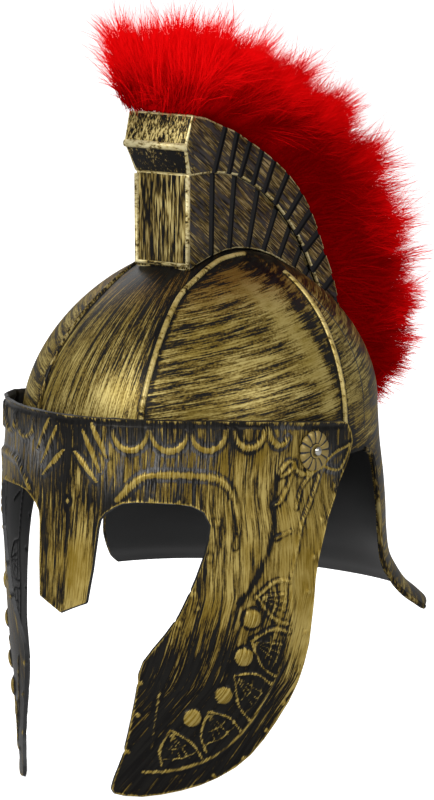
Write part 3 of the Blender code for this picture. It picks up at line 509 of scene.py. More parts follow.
# Face mask: one sheet, its cast relief raised out of it
relief = {
    "browRidge": [
        (16, 0.173), (20.1, 0.135), (24.2, 0.107), (31, 0.099), (39.6, 0.102), (47, 0.113),
        (51, 0.145), (52.8, 0.194), (52.3, 0.249), (51, 0.307),
    ],
    "cheekRidge": [
        (67.3, 0.4), (67.1, 0.46), (66.7, 0.557), (64.6, 0.641), (61.7, 0.708), (57.8, 0.806),
        (53.6, 0.86), (47.6, 0.909), (39.7, 0.934), (32.2, 0.936),
    ],
    "chinLine": [(30.1, 0.68), (31, 0.734), (32, 0.812), (32.8, 0.874)],
    "scallops": [
        (14.4, 25.5, 1), (26.7, 37.9, 1), (38.9, 49.6, 1), (52.2, 62.1, 1), (63.3, 69.6, 0.75),
    ],
    "scallopTop": -0.022, "scallopDepth": 0.056,
    "browLeaves": [[(1.7, 0.049), (9.3, 0.128)], [(4.4, -0.012), (10.2, 0.099)],
                   [(7.2, -0.034), (12.5, 0.059)]],
    "bosses": [(54.9, 0.51), (52.5, 0.618), (48.4, 0.725), (41.5, 0.786)],
    "bossRadius": 5.7, "bossHeight": 2.4, "nasalPip": (0, 0.19), "nasalCrease": (-21, -47),
    # apex, then the two ends of each fan on the cheek ridge
    "fans": [
        [(56.6, 0.45), (66.9, 0.415), (65.6, 0.536)], [(54.6, 0.574), (65.6, 0.559), (62.1, 0.682)],
        [(50.2, 0.669), (61.4, 0.705), (57.3, 0.809)], [(45.3, 0.769), (46.8, 0.888), (54.9, 0.834)],
        [(36.5, 0.818), (36.5, 0.921), (46, 0.905)],
    ],
    "teeth": [
        (86.4, 0.171), (79.5, 0.258), (75.3, 0.357), (72.5, 0.453), (71.4, 0.569), (69.3, 0.674),
        (66.5, 0.768), (62, 0.841), (56.3, 0.916), (49.5, 0.96), (46.2, 0.235), (43.5, 0.332),
        (39, 0.433), (40, 0.473), (34.7, 0.517), (24.8, 0.687), (26.6, 0.776), (26.8, 0.879),
        (26.7, 0.171), (35.3, 0.174),
    ],
    # points, half widths along the line, and how bright its gold is
    "leaves": [
        ([(82.4, 0.108), (86.3, 0.082), (92.3, 0.066)], (1.3, 1.3), 0.9),
        ([(82.4, 0.108), (85.2, 0.123), (89, 0.126), (92.3, 0.07)], (1.3, 1.3), 0.9),
        ([(82.4, 0.108), (78.3, 0.123), (75.2, 0.123), (72.9, 0.109), (72, 0.088)], (1.6, 1.4), 0.9),
        ([(72, 0.088), (70, 0.083), (67.5, 0.107), (67.2, 0.122)], (1, 1.4, 0.8), 0.8),
        ([(72, 0.088), (71, 0.107), (67.9, 0.12)], (1.6, 1.6, 1), 0.8),
        ([(82.4, 0.111), (77.7, 0.191), (72.3, 0.257), (69.8, 0.322), (67.4, 0.404)], (1.2, 1), 0.55),
        ([(80.7, 0.114), (76.2, 0.141), (73.8, 0.172), (71.5, 0.214)], (1.2, 0.8), 0.6),
        ([(71.3, 0.118), (69.5, 0.155), (66.6, 0.19), (64.2, 0.199)], (1, 1.6, 0.7), 0.8),
        ([(63.3, 0.29), (66.3, 0.281), (69, 0.273)], (0.9, 0.6), 0.4),
    ],
    "streak": [
        (66.5, 0.121), (64.3, 0.211), (61.3, 0.307), (58.5, 0.369), (55, 0.423), (51.6, 0.466),
    ],
    # angle, drop, radius, gold laid there, squash along the height, and whether on both sides
    "gold": [
        (0, 0.02, 34, 0.24, 1, True), (25, 0.09, 24, 0.36, 1, True), (60, 0.1, 20, 0.56, 1, True),
        (58, 0.28, 34, 0.78, 0.6, True), (72, 0.35, 30, 0.82, 0.5, True),
        # the gold at 11 degrees, on one side only, is a painted highlight on the band
        (11, 0.06, 11, 0.66, 1, False), (22, 0.06, 9, 0.55, 1, False),
        (46, 0.45, 24, 0.72, 1, True), (0, 0.38, 18, 0.5, 1, True), (5, 0.38, 11, 1.26, 0.4, False),
        (36, 0.66, 30, 0.26, 1, True), (50, 0.75, 32, 0.24, 1, True), (34, 0.9, 34, 0.1, 1, True),
        (52, 0.95, 30, 0.14, 1, True), (66, 0.72, 12, 0.4, 1, True),
        (70, 0.45, 12, 1.22, 0.3, True), (86, 0.02, 12, 0.25, 1, True),
    ],
    # painted reflection on the black: angle, drop, radius and strength of each grey sheen
    "sheen": [
        (14, 0.07, 13, 0.9), (28, 0.078, 14, 0.9), (41, 0.068, 13, 0.8), (70, 0.02, 10, 0.6),
        (84, 0.12, 10, 0.6),
    ],
}


def onMask(points, steps=5):
    straight = len(points) == 2
    line = np.linspace(*np.array(points, float), 8) if straight else roundedLine(points, steps)
    return maskPoint(line[:, 0], -100 * line[:, 1])


def raised(gap, halfWidth, height):
    return height * held(1 - (gap / halfWidth) ** 2) ** 1.3


def scallopLine(start, end, share):
    turn = np.linspace(0, math.pi * share, 9)
    across = (1 - np.cos(turn)) / (1 - math.cos(math.pi * share))
    drop = relief["scallopTop"] + relief["scallopDepth"] * np.sin(turn)
    return np.column_stack([start + (end - start) * across, drop])


def fanLines(apex, first, second):
    # points, half width, height and brightness: two bowed sides, veins and arcs across them
    apex, first, second = (np.array(p, float) for p in (apex, first, second))
    lines = []
    for end, other in ((first, second), (second, first)):
        lines.append(([apex, (apex + end) / 2 + (end - other) * 0.16, end], 1.2, 1.0, 0.78))
    for share in (0.28, 0.5, 0.72):
        foot = first * (1 - share) + second * share
        lines.append(([apex * 0.85 + foot * 0.15, apex * 0.1 + foot * 0.9], 0.75, 0.7, 0.62))
    for share, reach in ((0.52, 0.58), (0.80, 0.88)):
        ends = [apex * (1 - share) + end * share for end in (first, second)]
        middle = apex * (1 - reach) + (first + second) / 2 * reach
        lines.append(([ends[0], middle, ends[1]], 0.75, 0.7, 0.62))
    return lines


def makeMask():
    half = [(a, -100 * d) for a, d in mask["edge"]]
    outline = half + [(-a, l) for a, l in half[::-1]][:-1]
    sheet, flat = cutSheet("faceMask", outline[:-1], mask["stretch"], *mask["grid"])
    angle, level = flat[:, 0], flat[:, 1]
    places = maskPoint(angle, level)
    folded = np.column_stack([np.abs(places[:, 0]), places[:, 1:]])
    normals = normalsOf(maskPoint, angle, level)
    height = np.zeros(len(places))
    shine = np.zeros(len(places))
    # painted shade: how much gold is taken away round raised lines, round bosses and along the nasal
    # crease
    paintedShade = np.zeros(len(places))

    def along(values, share):
        return np.interp(share, np.linspace(0, 1, len(values)), values)

    def gapTo(spot, squash=1, both=True):
        # distance from one place on the mask, on both sides alike or on its own side
        away = (folded if both else places) - maskPoint(spot[0], -100 * spot[1])
        return np.linalg.norm(away * (1, 1, squash), axis=1)

    def mark(gap, width, amount, bright=0.85, shade=1.0):
        np.maximum(height, raised(gap, width, amount), out=height)
        np.maximum(shine, held(1 - (gap / width) ** 2) * bright, out=shine)
        # painted shade in a ring just outside the raised line
        np.maximum(paintedShade, shade * held(1 - np.abs(gap - width - 0.7) / 1.2), out=paintedShade)

    def raiseLine(line, widths, amount, bright=(0.85, 0.85)):
        gap, share, _ = nearestOn(line, folded)
        mark(gap, along(widths, share), amount, along(bright, share))

    raiseLine(onMask(relief["browRidge"]), (2.4, 2.6, 2.6, 1.5, 1.0), 1.4,
              (0.8, 0.85, 0.85, 0.7, 0.6))
    raiseLine(onMask(relief["cheekRidge"]), (1.3, 1.7), 0.9, (0.5, 0.7))
    raiseLine(onMask(relief["chinLine"]), (1.0, 1.2), 0.7, (0.5, 0.6, 0.3))
    for row in relief["scallops"]:
        raiseLine(onMask(scallopLine(*row), 2), (1.6, 2.4, 1.6), 1.5, (0.4, 1.0, 1.1, 1.0, 0.4))
    for line in relief["browLeaves"]:
        raiseLine(onMask(line), (0.8, 2.2, 1.7, 0.8), 1.6, (1.3, 1.3))
    for line, widths, bright in relief["leaves"]:
        raiseLine(onMask(line), widths, 1.1, (bright, bright))
    for fan in relief["fans"]:
        for line, width, amount, bright in fanLines(*fan):
            raiseLine(onMask(line, 4), (width, width), amount, (bright, bright))
    radius = relief["bossRadius"]
    for spot in relief["bosses"]:
        gap = gapTo(spot)
        dome = np.sqrt(held(1 - (gap / radius) ** 2))
        np.maximum(height, relief["bossHeight"] * dome, out=height)
        np.maximum(shine, 0.95 * held(dome * 1.3), out=shine)
        # painted shade in a ring round the boss
        np.maximum(paintedShade, held(1 - np.abs(gap - radius - 0.6) / 1.3), out=paintedShade)
    for spot in relief["teeth"]:
        mark(gapTo(spot), 2.2, 0.9, 0.8, 0.3)
    mark(gapTo(relief["nasalPip"]), 2.0, 1.0)
    crease = nearestOn(maskPoint(0, np.linspace(*relief["nasalCrease"], 12)), folded)[0]
    height -= raised(crease, 1.5, 0.7)
    # painted shade along the nasal crease
    np.maximum(paintedShade, held(1.2 - crease / 1.6), out=paintedShade)

    rimGap = nearestOn(maskPoint(*np.array(half).T), folded)[0]
    height = np.maximum(height, 0.6 * held(1 - rimGap / 1.6))
    shine = np.maximum(shine, held(0.75 - rimGap / 2.4))
    topEdge = (level > -2) & (np.abs(angle) < 90)
    height -= np.where(topEdge, raised(np.abs(rimGap - 2.8), 1.3, 0.7), 0)
    # the band's far end was painted more thinly
    shine *= np.where((angle < -5) & (level > -16), 0.55, 1)

    gild = np.full(len(places), 0.40)
    for *spot, reach, amount, squash, both in relief["gold"]:
        share = hump(gapTo(spot, squash, both), reach)
        gild = gild * (1 - share) + amount * share
    sheen = np.zeros(len(places))
    for *spot, reach, amount in relief["sheen"]:
        sheen = np.maximum(sheen, amount * hump(gapTo(spot), reach))
    drop = -level / 100
    # painted shade takes gold away round the relief
    gild -= 0.45 * paintedShade
    gild -= 0.62 * hump(nearestOn(onMask(relief["streak"]), folded)[0], 1.7)
    # painted shade in the groove under the band's top edge
    gild -= np.where(topEdge, 0.6 * held(1 - np.abs(rimGap - 3.0) / 1.6), 0)
    placeVertices(sheet, (places + normals * height[:, None]) * mm)
    paintValue(sheet, "gild", gild)
    paintValue(sheet, "relief", shine)
    paintValue(sheet, "warm", np.zeros(len(gild)))
    paintValue(sheet, "sheen", sheen)
    # strokes run down the mask and lean back along the cheeks
    lean = np.interp(drop, [0, 0.45, 0.7, 1.0], [0.0, 4.0, 16.0, 46.0])
    across = np.abs(angle) * 1.75 + np.where(np.abs(angle) > 24, lean, 0)
    paintLayout(sheet, "brush", np.column_stack([drop * 20, np.sign(angle) * across / 10]))
    wear(sheet, maskPaint, insideBlack)
    wallSheet(sheet, mask["wall"], 1)
    return sheet


faceMask = makeMask()
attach(faceMask, "mask")
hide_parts("face_mask")
print("face mask made")

# Skull bowl
bowlPaint = brushedPaint("bowlPaint", (0.26, 0.19, 0.040), (0.46, 0.37, 0.135), (0.6, 12),
                         (0.22, 3.6), 0.3)


def makeBowl():
    ear, rim = bowl["earEdge"], bowl["rimLevel"]
    outline = [(-180, 89.5), (180, 89.5), (180, -100), *ear[::-1], (104, rim), (-104, rim),
               *[(-a, l) for a, l in ear], (-180, -100)]
    sheet, flat = cutSheet("skullBowl", outline, bowl["stretch"], *bowl["grid"])
    angle, level = flat[:, 0], flat[:, 1]
    places = bowlPoint(angle, level)
    placeVertices(sheet, places * mm)
    turn = np.abs(angle)
    folded = np.column_stack([np.abs(places[:, 0]), places[:, 1:]])
    *ribGaps, swathGap = [nearestOn(bowlPoint(*roundedLine(line).T), folded)[0]
                          for line in (*bowl["ribs"], bowl["swath"])]
    latitude = np.clip(level, 0, 90)
    gild = np.full(len(places), 0.60)
    gild += 0.06 * held((turn - 20) / 30) * (level > 0)
    gild += 0.10 * (turn < 24) * held((34 - level) / 20) * (level > 0)
    gild += 0.40 * hump(swathGap, 8)
    gild -= 0.45 * held((latitude - 52) / 16)
    gild -= 0.15 * (turn < 24) * held((latitude - 30) / 20)
    gild -= 0.35 * held(1 - np.abs(turn - 91) / 6) * (level > -20)
    # painted shade: less gold low on the front of the dome, above the mask band
    gild -= 0.20 * held((8 - level) / 10) * (turn < 100)
    # painted shade: less gold in a strip beside each rib
    for gap in ribGaps:
        gild -= 0.5 * held(1 - np.abs(gap - 2.2) / 2.0)
    gild = np.where((turn > 112) | (level < -5), gild - 0.12, gild)
    paintValue(sheet, "gild", gild)
    paintValue(sheet, "relief", np.zeros(len(places)))
    paintValue(sheet, "warm", 0.75 * held((latitude - 42) / 18))
    paintValue(sheet, "sheen", np.zeros(len(places)))
    # the front panel is brushed down the dome, the side panel round it, and they meet at the rib
    height = np.where(level > 0, level * 1.55, level * 1.15)
    ribTurn = np.interp(latitude, [l for _, l in bowl["ribs"][0]], [a for a, _ in bowl["ribs"][0]])
    front = turn < ribTurn
    around = np.where(angle < 0, angle + 360, angle)
    brushAlong = np.where(front, height, around * 1.7)
    brushAcross = np.where(front, angle * 1.7 - 0.12 * height, height - 0.16 * turn * 1.7)
    paintLayout(sheet, "brush", np.column_stack([brushAlong / 10, brushAcross / 10]))
    wear(sheet, bowlPaint, insideBlack)
    closeUp(sheet, 0.02, False)
    wallSheet(sheet, bowl["wall"], 0)
    return sheet


skullBowl = makeBowl()
ribPaint = crestPaint("ribPaint", (0.34, 0.25, 0.07), (0.55, 0.44, 0.18), (0, 0, 0),
                      paint["slate"], 1.0, 120, 500)
plainRib = crestPaint("plainRib", (0.20, 0.15, 0.05), (0.30, 0.24, 0.10), (0, 90, 0),
                      paint["slate"], 0.52, 120, 900)
lineBlack = plainMaterial("lineBlack", (0.008, 0.008, 0.009), 0.5)


def beadsOnBowl(rows, radius, lift, *finishes):
    # round beads that lie on the bowl, the left one and then the right one
    beads = []
    for side, finish in zip((1, -1), finishes):
        angle, level = roundedLine([(side * a, l) for a, l in rows]).T
        spots = bowlPoint(angle, level) + normalsOf(bowlPoint, angle, level) * lift
        beads.append(beadAlong("bead", spots, radius))
        wear(beads[-1], finish)
    return beads


ribBeads = [
    *beadsOnBowl(bowl["ribs"][0], bowl["ribRadius"], 0, ribPaint, plainRib),
    *beadsOnBowl(bowl["ribs"][1], bowl["ribRadius"], 0, ribPaint, ribPaint),
    *beadsOnBowl([(a + 0.6, l) for a, l in bowl["earEdge"]], bowl["earRadius"], bowl["earLift"],
                 plainRib, plainRib),
]
skullBowl = joined([skullBowl, *ribBeads], "skullBowl")
lineBeads = beadsOnBowl(bowl["fineLine"], bowl["lineRadius"], bowl["lineLift"], lineBlack, lineBlack)
fineLines = joined(lineBeads, "fineLines")
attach(skullBowl, "bowl")
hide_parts("skull_bowl")
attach(fineLines, "bowl")
print("skull bowl made")

# Crest box
crest = {
    "rise": 85, "upperHalf": 21, "lowerHalf": 18.6, "hoodHalf": 23, "hoodReach": 6,
    "hoodHeight": 18, "upperBevel": 1.2, "lowerBevel": 2, "creaseRadius": 2.3, "edgeRadius": 1.5,
    "slotWidth": 5, "slotDepth": 1.6, "grooveWidth": 5, "grooveDepth": 1.1,
    # top back, top rise, tier back, tier rise: shares of the bowl's half depth and of the rise
    "stations": [
        (-0.313, 1.027, -0.303, 0.615), (-0.179, 0.934, -0.23, 0.583),
        (-0.024, 0.82, -0.118, 0.541), (0.078, 0.768, 0.005, 0.497), (0.188, 0.708, 0.1, 0.466),
        (0.29, 0.668, 0.21, 0.419), (0.395, 0.633, 0.304, 0.383), (0.514, 0.598, 0.402, 0.339),
        (0.636, 0.551, 0.5, 0.281), (0.72, 0.498, 0.585, 0.23), (0.789, 0.425, 0.661, 0.171),
        (0.845, 0.357, 0.732, 0.094), (0.92, 0.315, 0.804, 0.019), (0.967, 0.268, 0.857, -0.018),
        (0.991, 0.204, 0.911, -0.055),
    ],
    "grooves": [
        (-0.107, -0.116), (0.08, 0.036), (0.277, 0.196), (0.438, 0.33), (0.554, 0.464),
        (0.652, 0.589), (0.723, 0.679),
    ],
}


def domeHeight(y):
    level = np.linspace(0, 90, 3001)
    crown = bowl["setBack"] + bowl["lean"]
    line = bowlPoint(180 if y > crown else 0, level)
    return float(line[np.argmin(np.abs(line[:, 1] - y)), 2])


def crestLine(column):
    line = []
    for row in crest["stations"]:
        y = bowl["halfDepth"] * row[column]
        line.append((y, domeHeight(y) + crest["rise"] * row[column + 1]))
    return line


def loft(name, rings):
    # a body through rings of equal count, capped at both ends
    count = len(rings[0])
    verts = [tuple(float(c) * mm for c in p) for ring in rings for p in ring]
    faces = []
    for k in range(len(rings) - 1):
        for i in range(count):
            j = (i + 1) % count
            faces.append((k * count + i, k * count + j, (k + 1) * count + j, (k + 1) * count + i))
    # the caps are strips from one side of the ring to the other
    for i in range((count - 1) // 2):
        strip = dict.fromkeys((i, i + 1, count - 2 - i, count - 1 - i))
        faces += [tuple(strip), tuple((len(rings) - 1) * count + j for j in strip)]
    piece = newPiece(name, verts, faces)
    closeUp(piece)
    return piece


def cutBars(name, lines, halfWidth, share):
    # bars to cut with, along lines on both sides, each share times as long as its line
    bars = []
    for high, low in lines:
        run = Vector((0, *high)) - Vector((0, *low))
        for side in (-1, 1):
            centre = Vector((0, *low)) + run / 2 + Vector((side * halfWidth, 0, 0))
            bpy.ops.mesh.primitive_cube_add(size=1, location=centre * mm)
            bar = bpy.context.object
            bar.rotation_euler = (-math.atan2(run.y, run.z), 0, 0)
            bar.scale = (2 * crest[name + "Depth"] * mm, crest[name + "Width"] * mm,
                         run.length * share * mm)
            bars.append(bar)
    bar = joined(bars, name)
    bpy.ops.object.transform_apply(location=True, rotation=True, scale=True)
    wear(bar, crestDark)
    return bar


def takeAway(piece, cutter):
    boolean = piece.modifiers.new("cut", "BOOLEAN")
    boolean.operation = "DIFFERENCE"
    boolean.solver = "EXACT"
    boolean.material_mode = "TRANSFER"
    boolean.object = cutter
    applyModifiers(piece)
    bpy.data.objects.remove(cutter)


def makeCrest():
    top, tier = crestLine(0), crestLine(2)
    wide, low = crest["upperHalf"], crest["lowerHalf"]
    hood = (top[0][0] - crest["hoodReach"], top[0][1] - crest["hoodHeight"])
    stations = [(top[0], hood, tier[0], crest["hoodHalf"], (wide + crest["hoodHalf"]) / 2, low)]
    second = [np.array(a) * 0.75 + np.array(b) * 0.25 for a, b in (top[:2], tier[:2])]
    for high, foot in [second, *zip(top[1:], tier[1:])]:
        middle = np.array(high) * 0.55 + np.array(foot) * 0.45
        stations.append((high, middle, foot, wide, wide, wide))
    rings = []
    for high, middle, foot, a, b, c in stations:
        left = [(-a, *high), (-b, *middle), (-c, *foot)]
        rings.append(left + [(-x, y, z) for x, y, z in left[::-1]])
    upper = loft("crestUpper", rings)
    lowerRings = []
    for y, z in tier:
        foot = min(domeHeight(y) - 1.5, z - 3)
        lowerRings.append([(-low, y, z + 0.5), (-low, y, foot), (low, y, foot), (low, y, z + 0.5)])
    lower = loft("crestLower", lowerRings)
    finished = []
    for piece, cutter, widthOfEdge in ((upper, slotCutter(top, tier), crest["upperBevel"]),
                                       (lower, grooveCutter(tier), crest["lowerBevel"])):
        wear(piece, crestSide, crestEdge, crestDark, crestFront, crestTuck)
        bevel = piece.modifiers.new("wornEdge", "BEVEL")
        bevel.width = widthOfEdge * mm
        bevel.segments = 2
        bevel.limit_method = "ANGLE"
        bevel.angle_limit = math.radians(25)
        bevel.material = 1
        applyModifiers(piece)
        # painted shade: faces of the front that look down, under the hood, take the darker tuck
        # finish
        for face in piece.data.polygons:
            if face.material_index == 0 and face.normal.y < -0.55:
                face.material_index = 4 if face.normal.z < -0.05 else 3
        takeAway(piece, cutter)
        smoothBelow(piece, 35)
        finished.append(piece)
    # a bright gold bead along the hood's crease is a painted highlight, and the edges of the front
    # below it are rubbed to bright gold
    end, crease = crest["hoodHalf"] - 1.5, (hood[0] + 1.2, hood[1])
    corner, front = low - 0.6, tier[0][0] - 0.1
    high, base = tier[0][1] - 1, domeHeight(front) + 1.6
    edges = [(-corner, front, high), (-corner, front, base), (corner, front, base),
             (corner, front, high)]
    for spots, radius in (([(-end, *crease), (end, *crease)], crest["creaseRadius"]),
                          (edges, crest["edgeRadius"])):
        bead = beadAlong("crestBead", np.array(spots), radius)
        wear(bead, crestEdge)
        finished.append(bead)
    return joined(finished, "crestBox")


def slotCutter(top, tier):
    return cutBars("slot", list(zip(top[2:], tier[2:])), crest["upperHalf"], 1.02)


def grooveCutter(tier):
    lines = []
    for tierBack, footBack in crest["grooves"]:
        y, footY = bowl["halfDepth"] * tierBack, bowl["halfDepth"] * footBack
        lines.append(((y, float(np.interp(y, *np.array(tier).T))), (footY, domeHeight(footY))))
    return cutBars("groove", lines, crest["lowerHalf"], 1.05)


crestSide = crestPaint("crestSide", (0.24, 0.17, 0.060), (0.40, 0.32, 0.16),
                       (35, 0, 90), (0.045, 0.040, 0.040), 0.48)
crestFront = crestPaint("crestFront", (0.30, 0.22, 0.08), (0.58, 0.47, 0.19),
                        (0, 90, 0), paint["black"], 0.55)
# the tuck's finish, with less gold, is painted shade under the hood
crestTuck = crestPaint("crestTuck", (0.26, 0.20, 0.08), (0.42, 0.36, 0.19),
                       (0, 90, 0), paint["black"], 0.20)
crestEdge = crestPaint("crestEdge", (0.42, 0.33, 0.13), (0.66, 0.58, 0.33), (0, 0, 0),
                       paint["slate"], 0.95, 300, 600)
crestDark = plainMaterial("crestDark", (0.004, 0.004, 0.005), 0.8)
crestBox = makeCrest()
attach(crestBox, "bowl")
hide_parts("crest_box")
print("crest box made")

# Temple rosettes and rivets
temple = {
    "forward": 26, "height": -102.5, "radius": 11.3, "thickness": 2.2, "petals": 12, "gap": 0.3,
    "rivetRadius": 2.6, "shankRadius": 1.7, "tail": 0.7, "domeRise": 1.4,
    # outline of the rosette from the rim to the hub: shares of radius and rise, depth of the flutes
    "profile": [(1, 0, 0.1), (1, 0.45, 0.1), (0.9, 1, 0.9), (0.6, 1.15, 0.7), (0.4, 0.9, 0.35),
                (0.36, 1.25, 0), (0.3, 1.3, 0), (0.24, 0.95, 0), (0.1, 0.9, 0)],
}
rosetteGold = plainMaterial("rosetteGold", (0.33, 0.235, 0.062), 0.42, 0.35, 500.0)
rosetteDark = plainMaterial("rosetteDark", (0.012, 0.010, 0.007), 0.5)
rivetSteel = plainMaterial("rivetSteel", (0.55, 0.54, 0.50), 0.28, 1.0, 1500.0, 0.1)


def templeSeat():
    # the mask's point and normal where the pivot axis leaves it, and how far a flat washer there
    # has to stand off the curve
    level = (temple["height"] - bowl["browPlane"]) / mask["drop"] * 100
    angles = np.linspace(45, 90, 4501)
    spots = maskPoint(angles, level)
    at = int(np.argmin(np.abs(spots[:, 1] + temple["forward"])))
    sag = temple["radius"] ** 2 / (4 * mask["halfDepth"])
    normal = normalsOf(maskPoint, angles[at:at + 1], np.array([level]))[0]
    return spots[at], normal, temple["gap"] + sag


def makeRosette(side, name):
    spot, normal, lift = templeSeat()
    steps = temple["petals"] * 8
    turn = np.linspace(0, 2 * math.pi, steps, endpoint=False)
    flute = np.abs(np.sin(turn * temple["petals"] / 2))
    rings = []
    for share, rise, depth in temple["profile"]:
        radius = temple["radius"] * share * (1 - 0.05 * (1 - flute) * (share > 0.8))
        height = temple["thickness"] * (rise * 0.78 - 0.30 * depth * (1 - flute))
        rings.append(np.column_stack([radius * np.cos(turn), radius * np.sin(turn),
                                      np.broadcast_to(np.maximum(height, 0), turn.shape)]))
    piece = loft(name, rings)
    frameTurn = Vector(normal).to_track_quat("Z", "Y").to_matrix().to_4x4()
    seat = Vector(spot) + Vector(normal) * lift
    piece.data.transform(Matrix.Translation(seat * mm) @ frameTurn)
    if side < 0:
        mirrored(piece)
    wear(piece, rosetteGold, rosetteDark)
    # the gaps between petals and the ring round the hub stay dark
    for k in range(len(rings) - 1):
        for i in range(steps):
            gap = flute[i] < 0.40 and flute[(i + 1) % steps] < 0.40
            if (gap and k < 4) or k == 4:
                piece.data.polygons[k * steps + i].material_index = 1
    smoothBelow(piece, 40)
    return piece


def makeRivet(side, name):
    # profile turned about the pivot axis: inner tail, shank and domed head in a ring
    spot, normal, lift = templeSeat()
    slope = math.sqrt(1 - normal[0] ** 2)
    outside = spot[0] + (lift + temple["thickness"]) / normal[0]
    outside += temple["gap"] + temple["rivetRadius"] * slope
    low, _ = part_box("rivet_left")
    inner, r, shank = low.x / mm, temple["rivetRadius"], temple["shankRadius"]
    profile = [(0, inner), (r, inner), (r, inner + temple["tail"]), (shank, inner + temple["tail"]),
               (shank, outside), (r, outside)]
    profile += [(r * math.cos(a), outside + temple["domeRise"] * math.sin(a))
                for a in np.linspace(0.2, math.pi / 2, 7)]
    axis = (0, -temple["forward"] * mm, temple["height"] * mm)
    piece = newPiece(name, [(x * mm, axis[1], axis[2] + q * mm) for q, x in profile], [],
                     [(i, i + 1) for i in range(len(profile) - 1)])
    select(piece)
    bpy.ops.object.mode_set(mode="EDIT")
    bpy.ops.mesh.select_all(action="SELECT")
    bpy.ops.mesh.spin(steps=28, angle=2 * math.pi, axis=(1, 0, 0), center=axis)
    bpy.ops.object.mode_set(mode="OBJECT")
    closeUp(piece, 0.005)
    if side < 0:
        mirrored(piece)
    wear(piece, rivetSteel)
    smoothBelow(piece, 40)
    return piece


for side, word in ((1, "left"), (-1, "right")):
    rosette = makeRosette(side, "rosette" + word.title())
    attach(rosette, "mask")
    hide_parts("rosette_" + word)
    rivet = makeRivet(side, "rivet" + word.title())
    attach(rivet, "bowl")
    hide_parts("rivet_" + word)
print("rosettes and rivets made")

# Plume: a soft core under tufts of fine barbs, each tuft drawn to a loose point
plume = {
    "reach": 56, "taper": 0.1, "spread": 60, "coreHalf": 10, "rootHalf": 18, "frontSpread": 0.52,
    "tail": [(1.05, 0.81, 0.8), (1.07, 0.95, 0.66), (1.085, 1.06, 0.5), (1.095, 1.14, 0.3)],
    "core": 0.5, "tufts": 4600, "barbs": 28, "barbWidth": 0.34, "wisps": 0.05, "pieces": 4,
    "glow": 0.045,
    # share along the crest, turn to the side and extra length of the longer locks
    "locks": [
        (0, -28, 0.26), (0.06, 14, 0.1), (0.11, 30, 0.14), (0.15, -30, 0.24), (0.22, 32, 0.4),
        (0.28, -44, 0.28), (0.36, 38, 0.34), (0.42, -18, 0.26), (0.47, 52, 0.5), (0.55, -46, 0.32),
        (0.62, 50, 0.4), (0.7, -34, 0.28), (0.72, 20, 0.08), (0.79, 48, 0.08), (0.86, -44, 0.1),
        (0.92, 36, 0.02),
    ],
    # how far past the solid's box the barbs may bend, and from how far on they do
    "overhang": 16, "bendFrom": 2,
    "length": (10, 34), "wispLength": 13, "frontFoot": 4, "rootLift": 0.8,
    # mean and spread of the tufts' slant, then how far aims, bends, barbs and roots scatter
    "slant": (0.05, 0.24), "scatter": 0.16, "curl": 0.20, "drift": 0.17, "rootScatter": 1.7,
    # how far a lock gathers along the crest and aside, and how much it lengthens and leans
    "lockAlong": 0.030, "lockAside": 0.28, "lockGrowth": 1.15, "lockLean": 1.3,
    # the red in painted shade and in painted light
    "dark": (0.24, 0, 0.001), "bright": (0.88, 0.004, 0.005),
}


def plumeLine():
    # place along the crest's top and reach, at even steps, and the direction along it
    top = roundedLine([(y, z, 0) for y, z in crestLine(0)], 3)[:, :2]
    reach = 1 - plume["taper"] * np.linspace(0, 1, len(top))
    tail = [(bowl["halfDepth"] * b, bowl["wall"] - bowl["crown"] * d, r)
            for b, d, r in plume["tail"]]
    line = np.vstack([np.column_stack([top, reach]), tail])
    lengths = np.concatenate([[0], np.cumsum(np.linalg.norm(np.diff(line[:, :2], axis=0), axis=1))])
    at = np.linspace(0, lengths[-1], 90)
    line = np.column_stack([np.interp(at, lengths, line[:, k]) for k in range(3)])
    ahead = np.gradient(line[:, :2], axis=0)
    ahead /= np.linalg.norm(ahead, axis=1, keepdims=True)
    return line, ahead


def featherMaterial():
    n = Nodes("feather")
    patch = n.noise(n.add("TexCoord", "Object"), 38.0, 3.0)
    # painted shade and light: the tip attribute runs from the shaded core to lit tips, and noise
    # patches paint more shade and light over it
    tip = n.sum("ADD", n.attribute("tip"), n.sum("MULTIPLY", n.sum("SUBTRACT", patch, 0.5), 0.9))
    n.give({
        "Base Color": n.blend(n.smooth(tip, 0.0, 1.0), plume["dark"], plume["bright"]),
        "Roughness": 0.8, "Specular IOR Level": 0.0,
        "Emission Color": (1.0, 0.0, 0.0, 1), "Emission Strength": plume["glow"],
    })
    return n.material


def plumeCore(line, ahead):
    rings = []
    fan = np.radians(np.linspace(-plume["spread"], plume["spread"], 15))
    for k, ((y, z, reach), (ay, az)) in enumerate(zip(line, ahead)):
        normal = np.array([0, -az, ay])
        root = np.array([0, y, z]) + normal * plume["rootLift"]
        wave = 1 + 0.07 * np.sin(0.9 * k + 3 * fan) + 0.05 * np.sin(2.3 * k - 5 * fan)
        length = plume["reach"] * plume["core"] * reach * wave * min(1.0, 0.12 + 0.08 * k)
        ring = [root + (-plume["coreHalf"], 0, 0)]
        for turn, size in zip(fan, length):
            side = np.array([math.sin(turn), 0, 0])
            ring.append(root + normal * math.cos(turn) * size + side * (size + plume["coreHalf"]))
        ring.append(root + (plume["coreHalf"], 0, 0))
        rings.append(ring)
    core = loft("plumeCore", rings)
    # the core is painted in shade
    paintValue(core, "tip", np.full(len(core.data.vertices), 0.1))
    wear(core, feather)
    select(core)
    bpy.ops.object.shade_smooth()
    return core


def unit(vectors):
    return vectors / np.maximum(np.linalg.norm(vectors, axis=-1, keepdims=True), 1e-9)


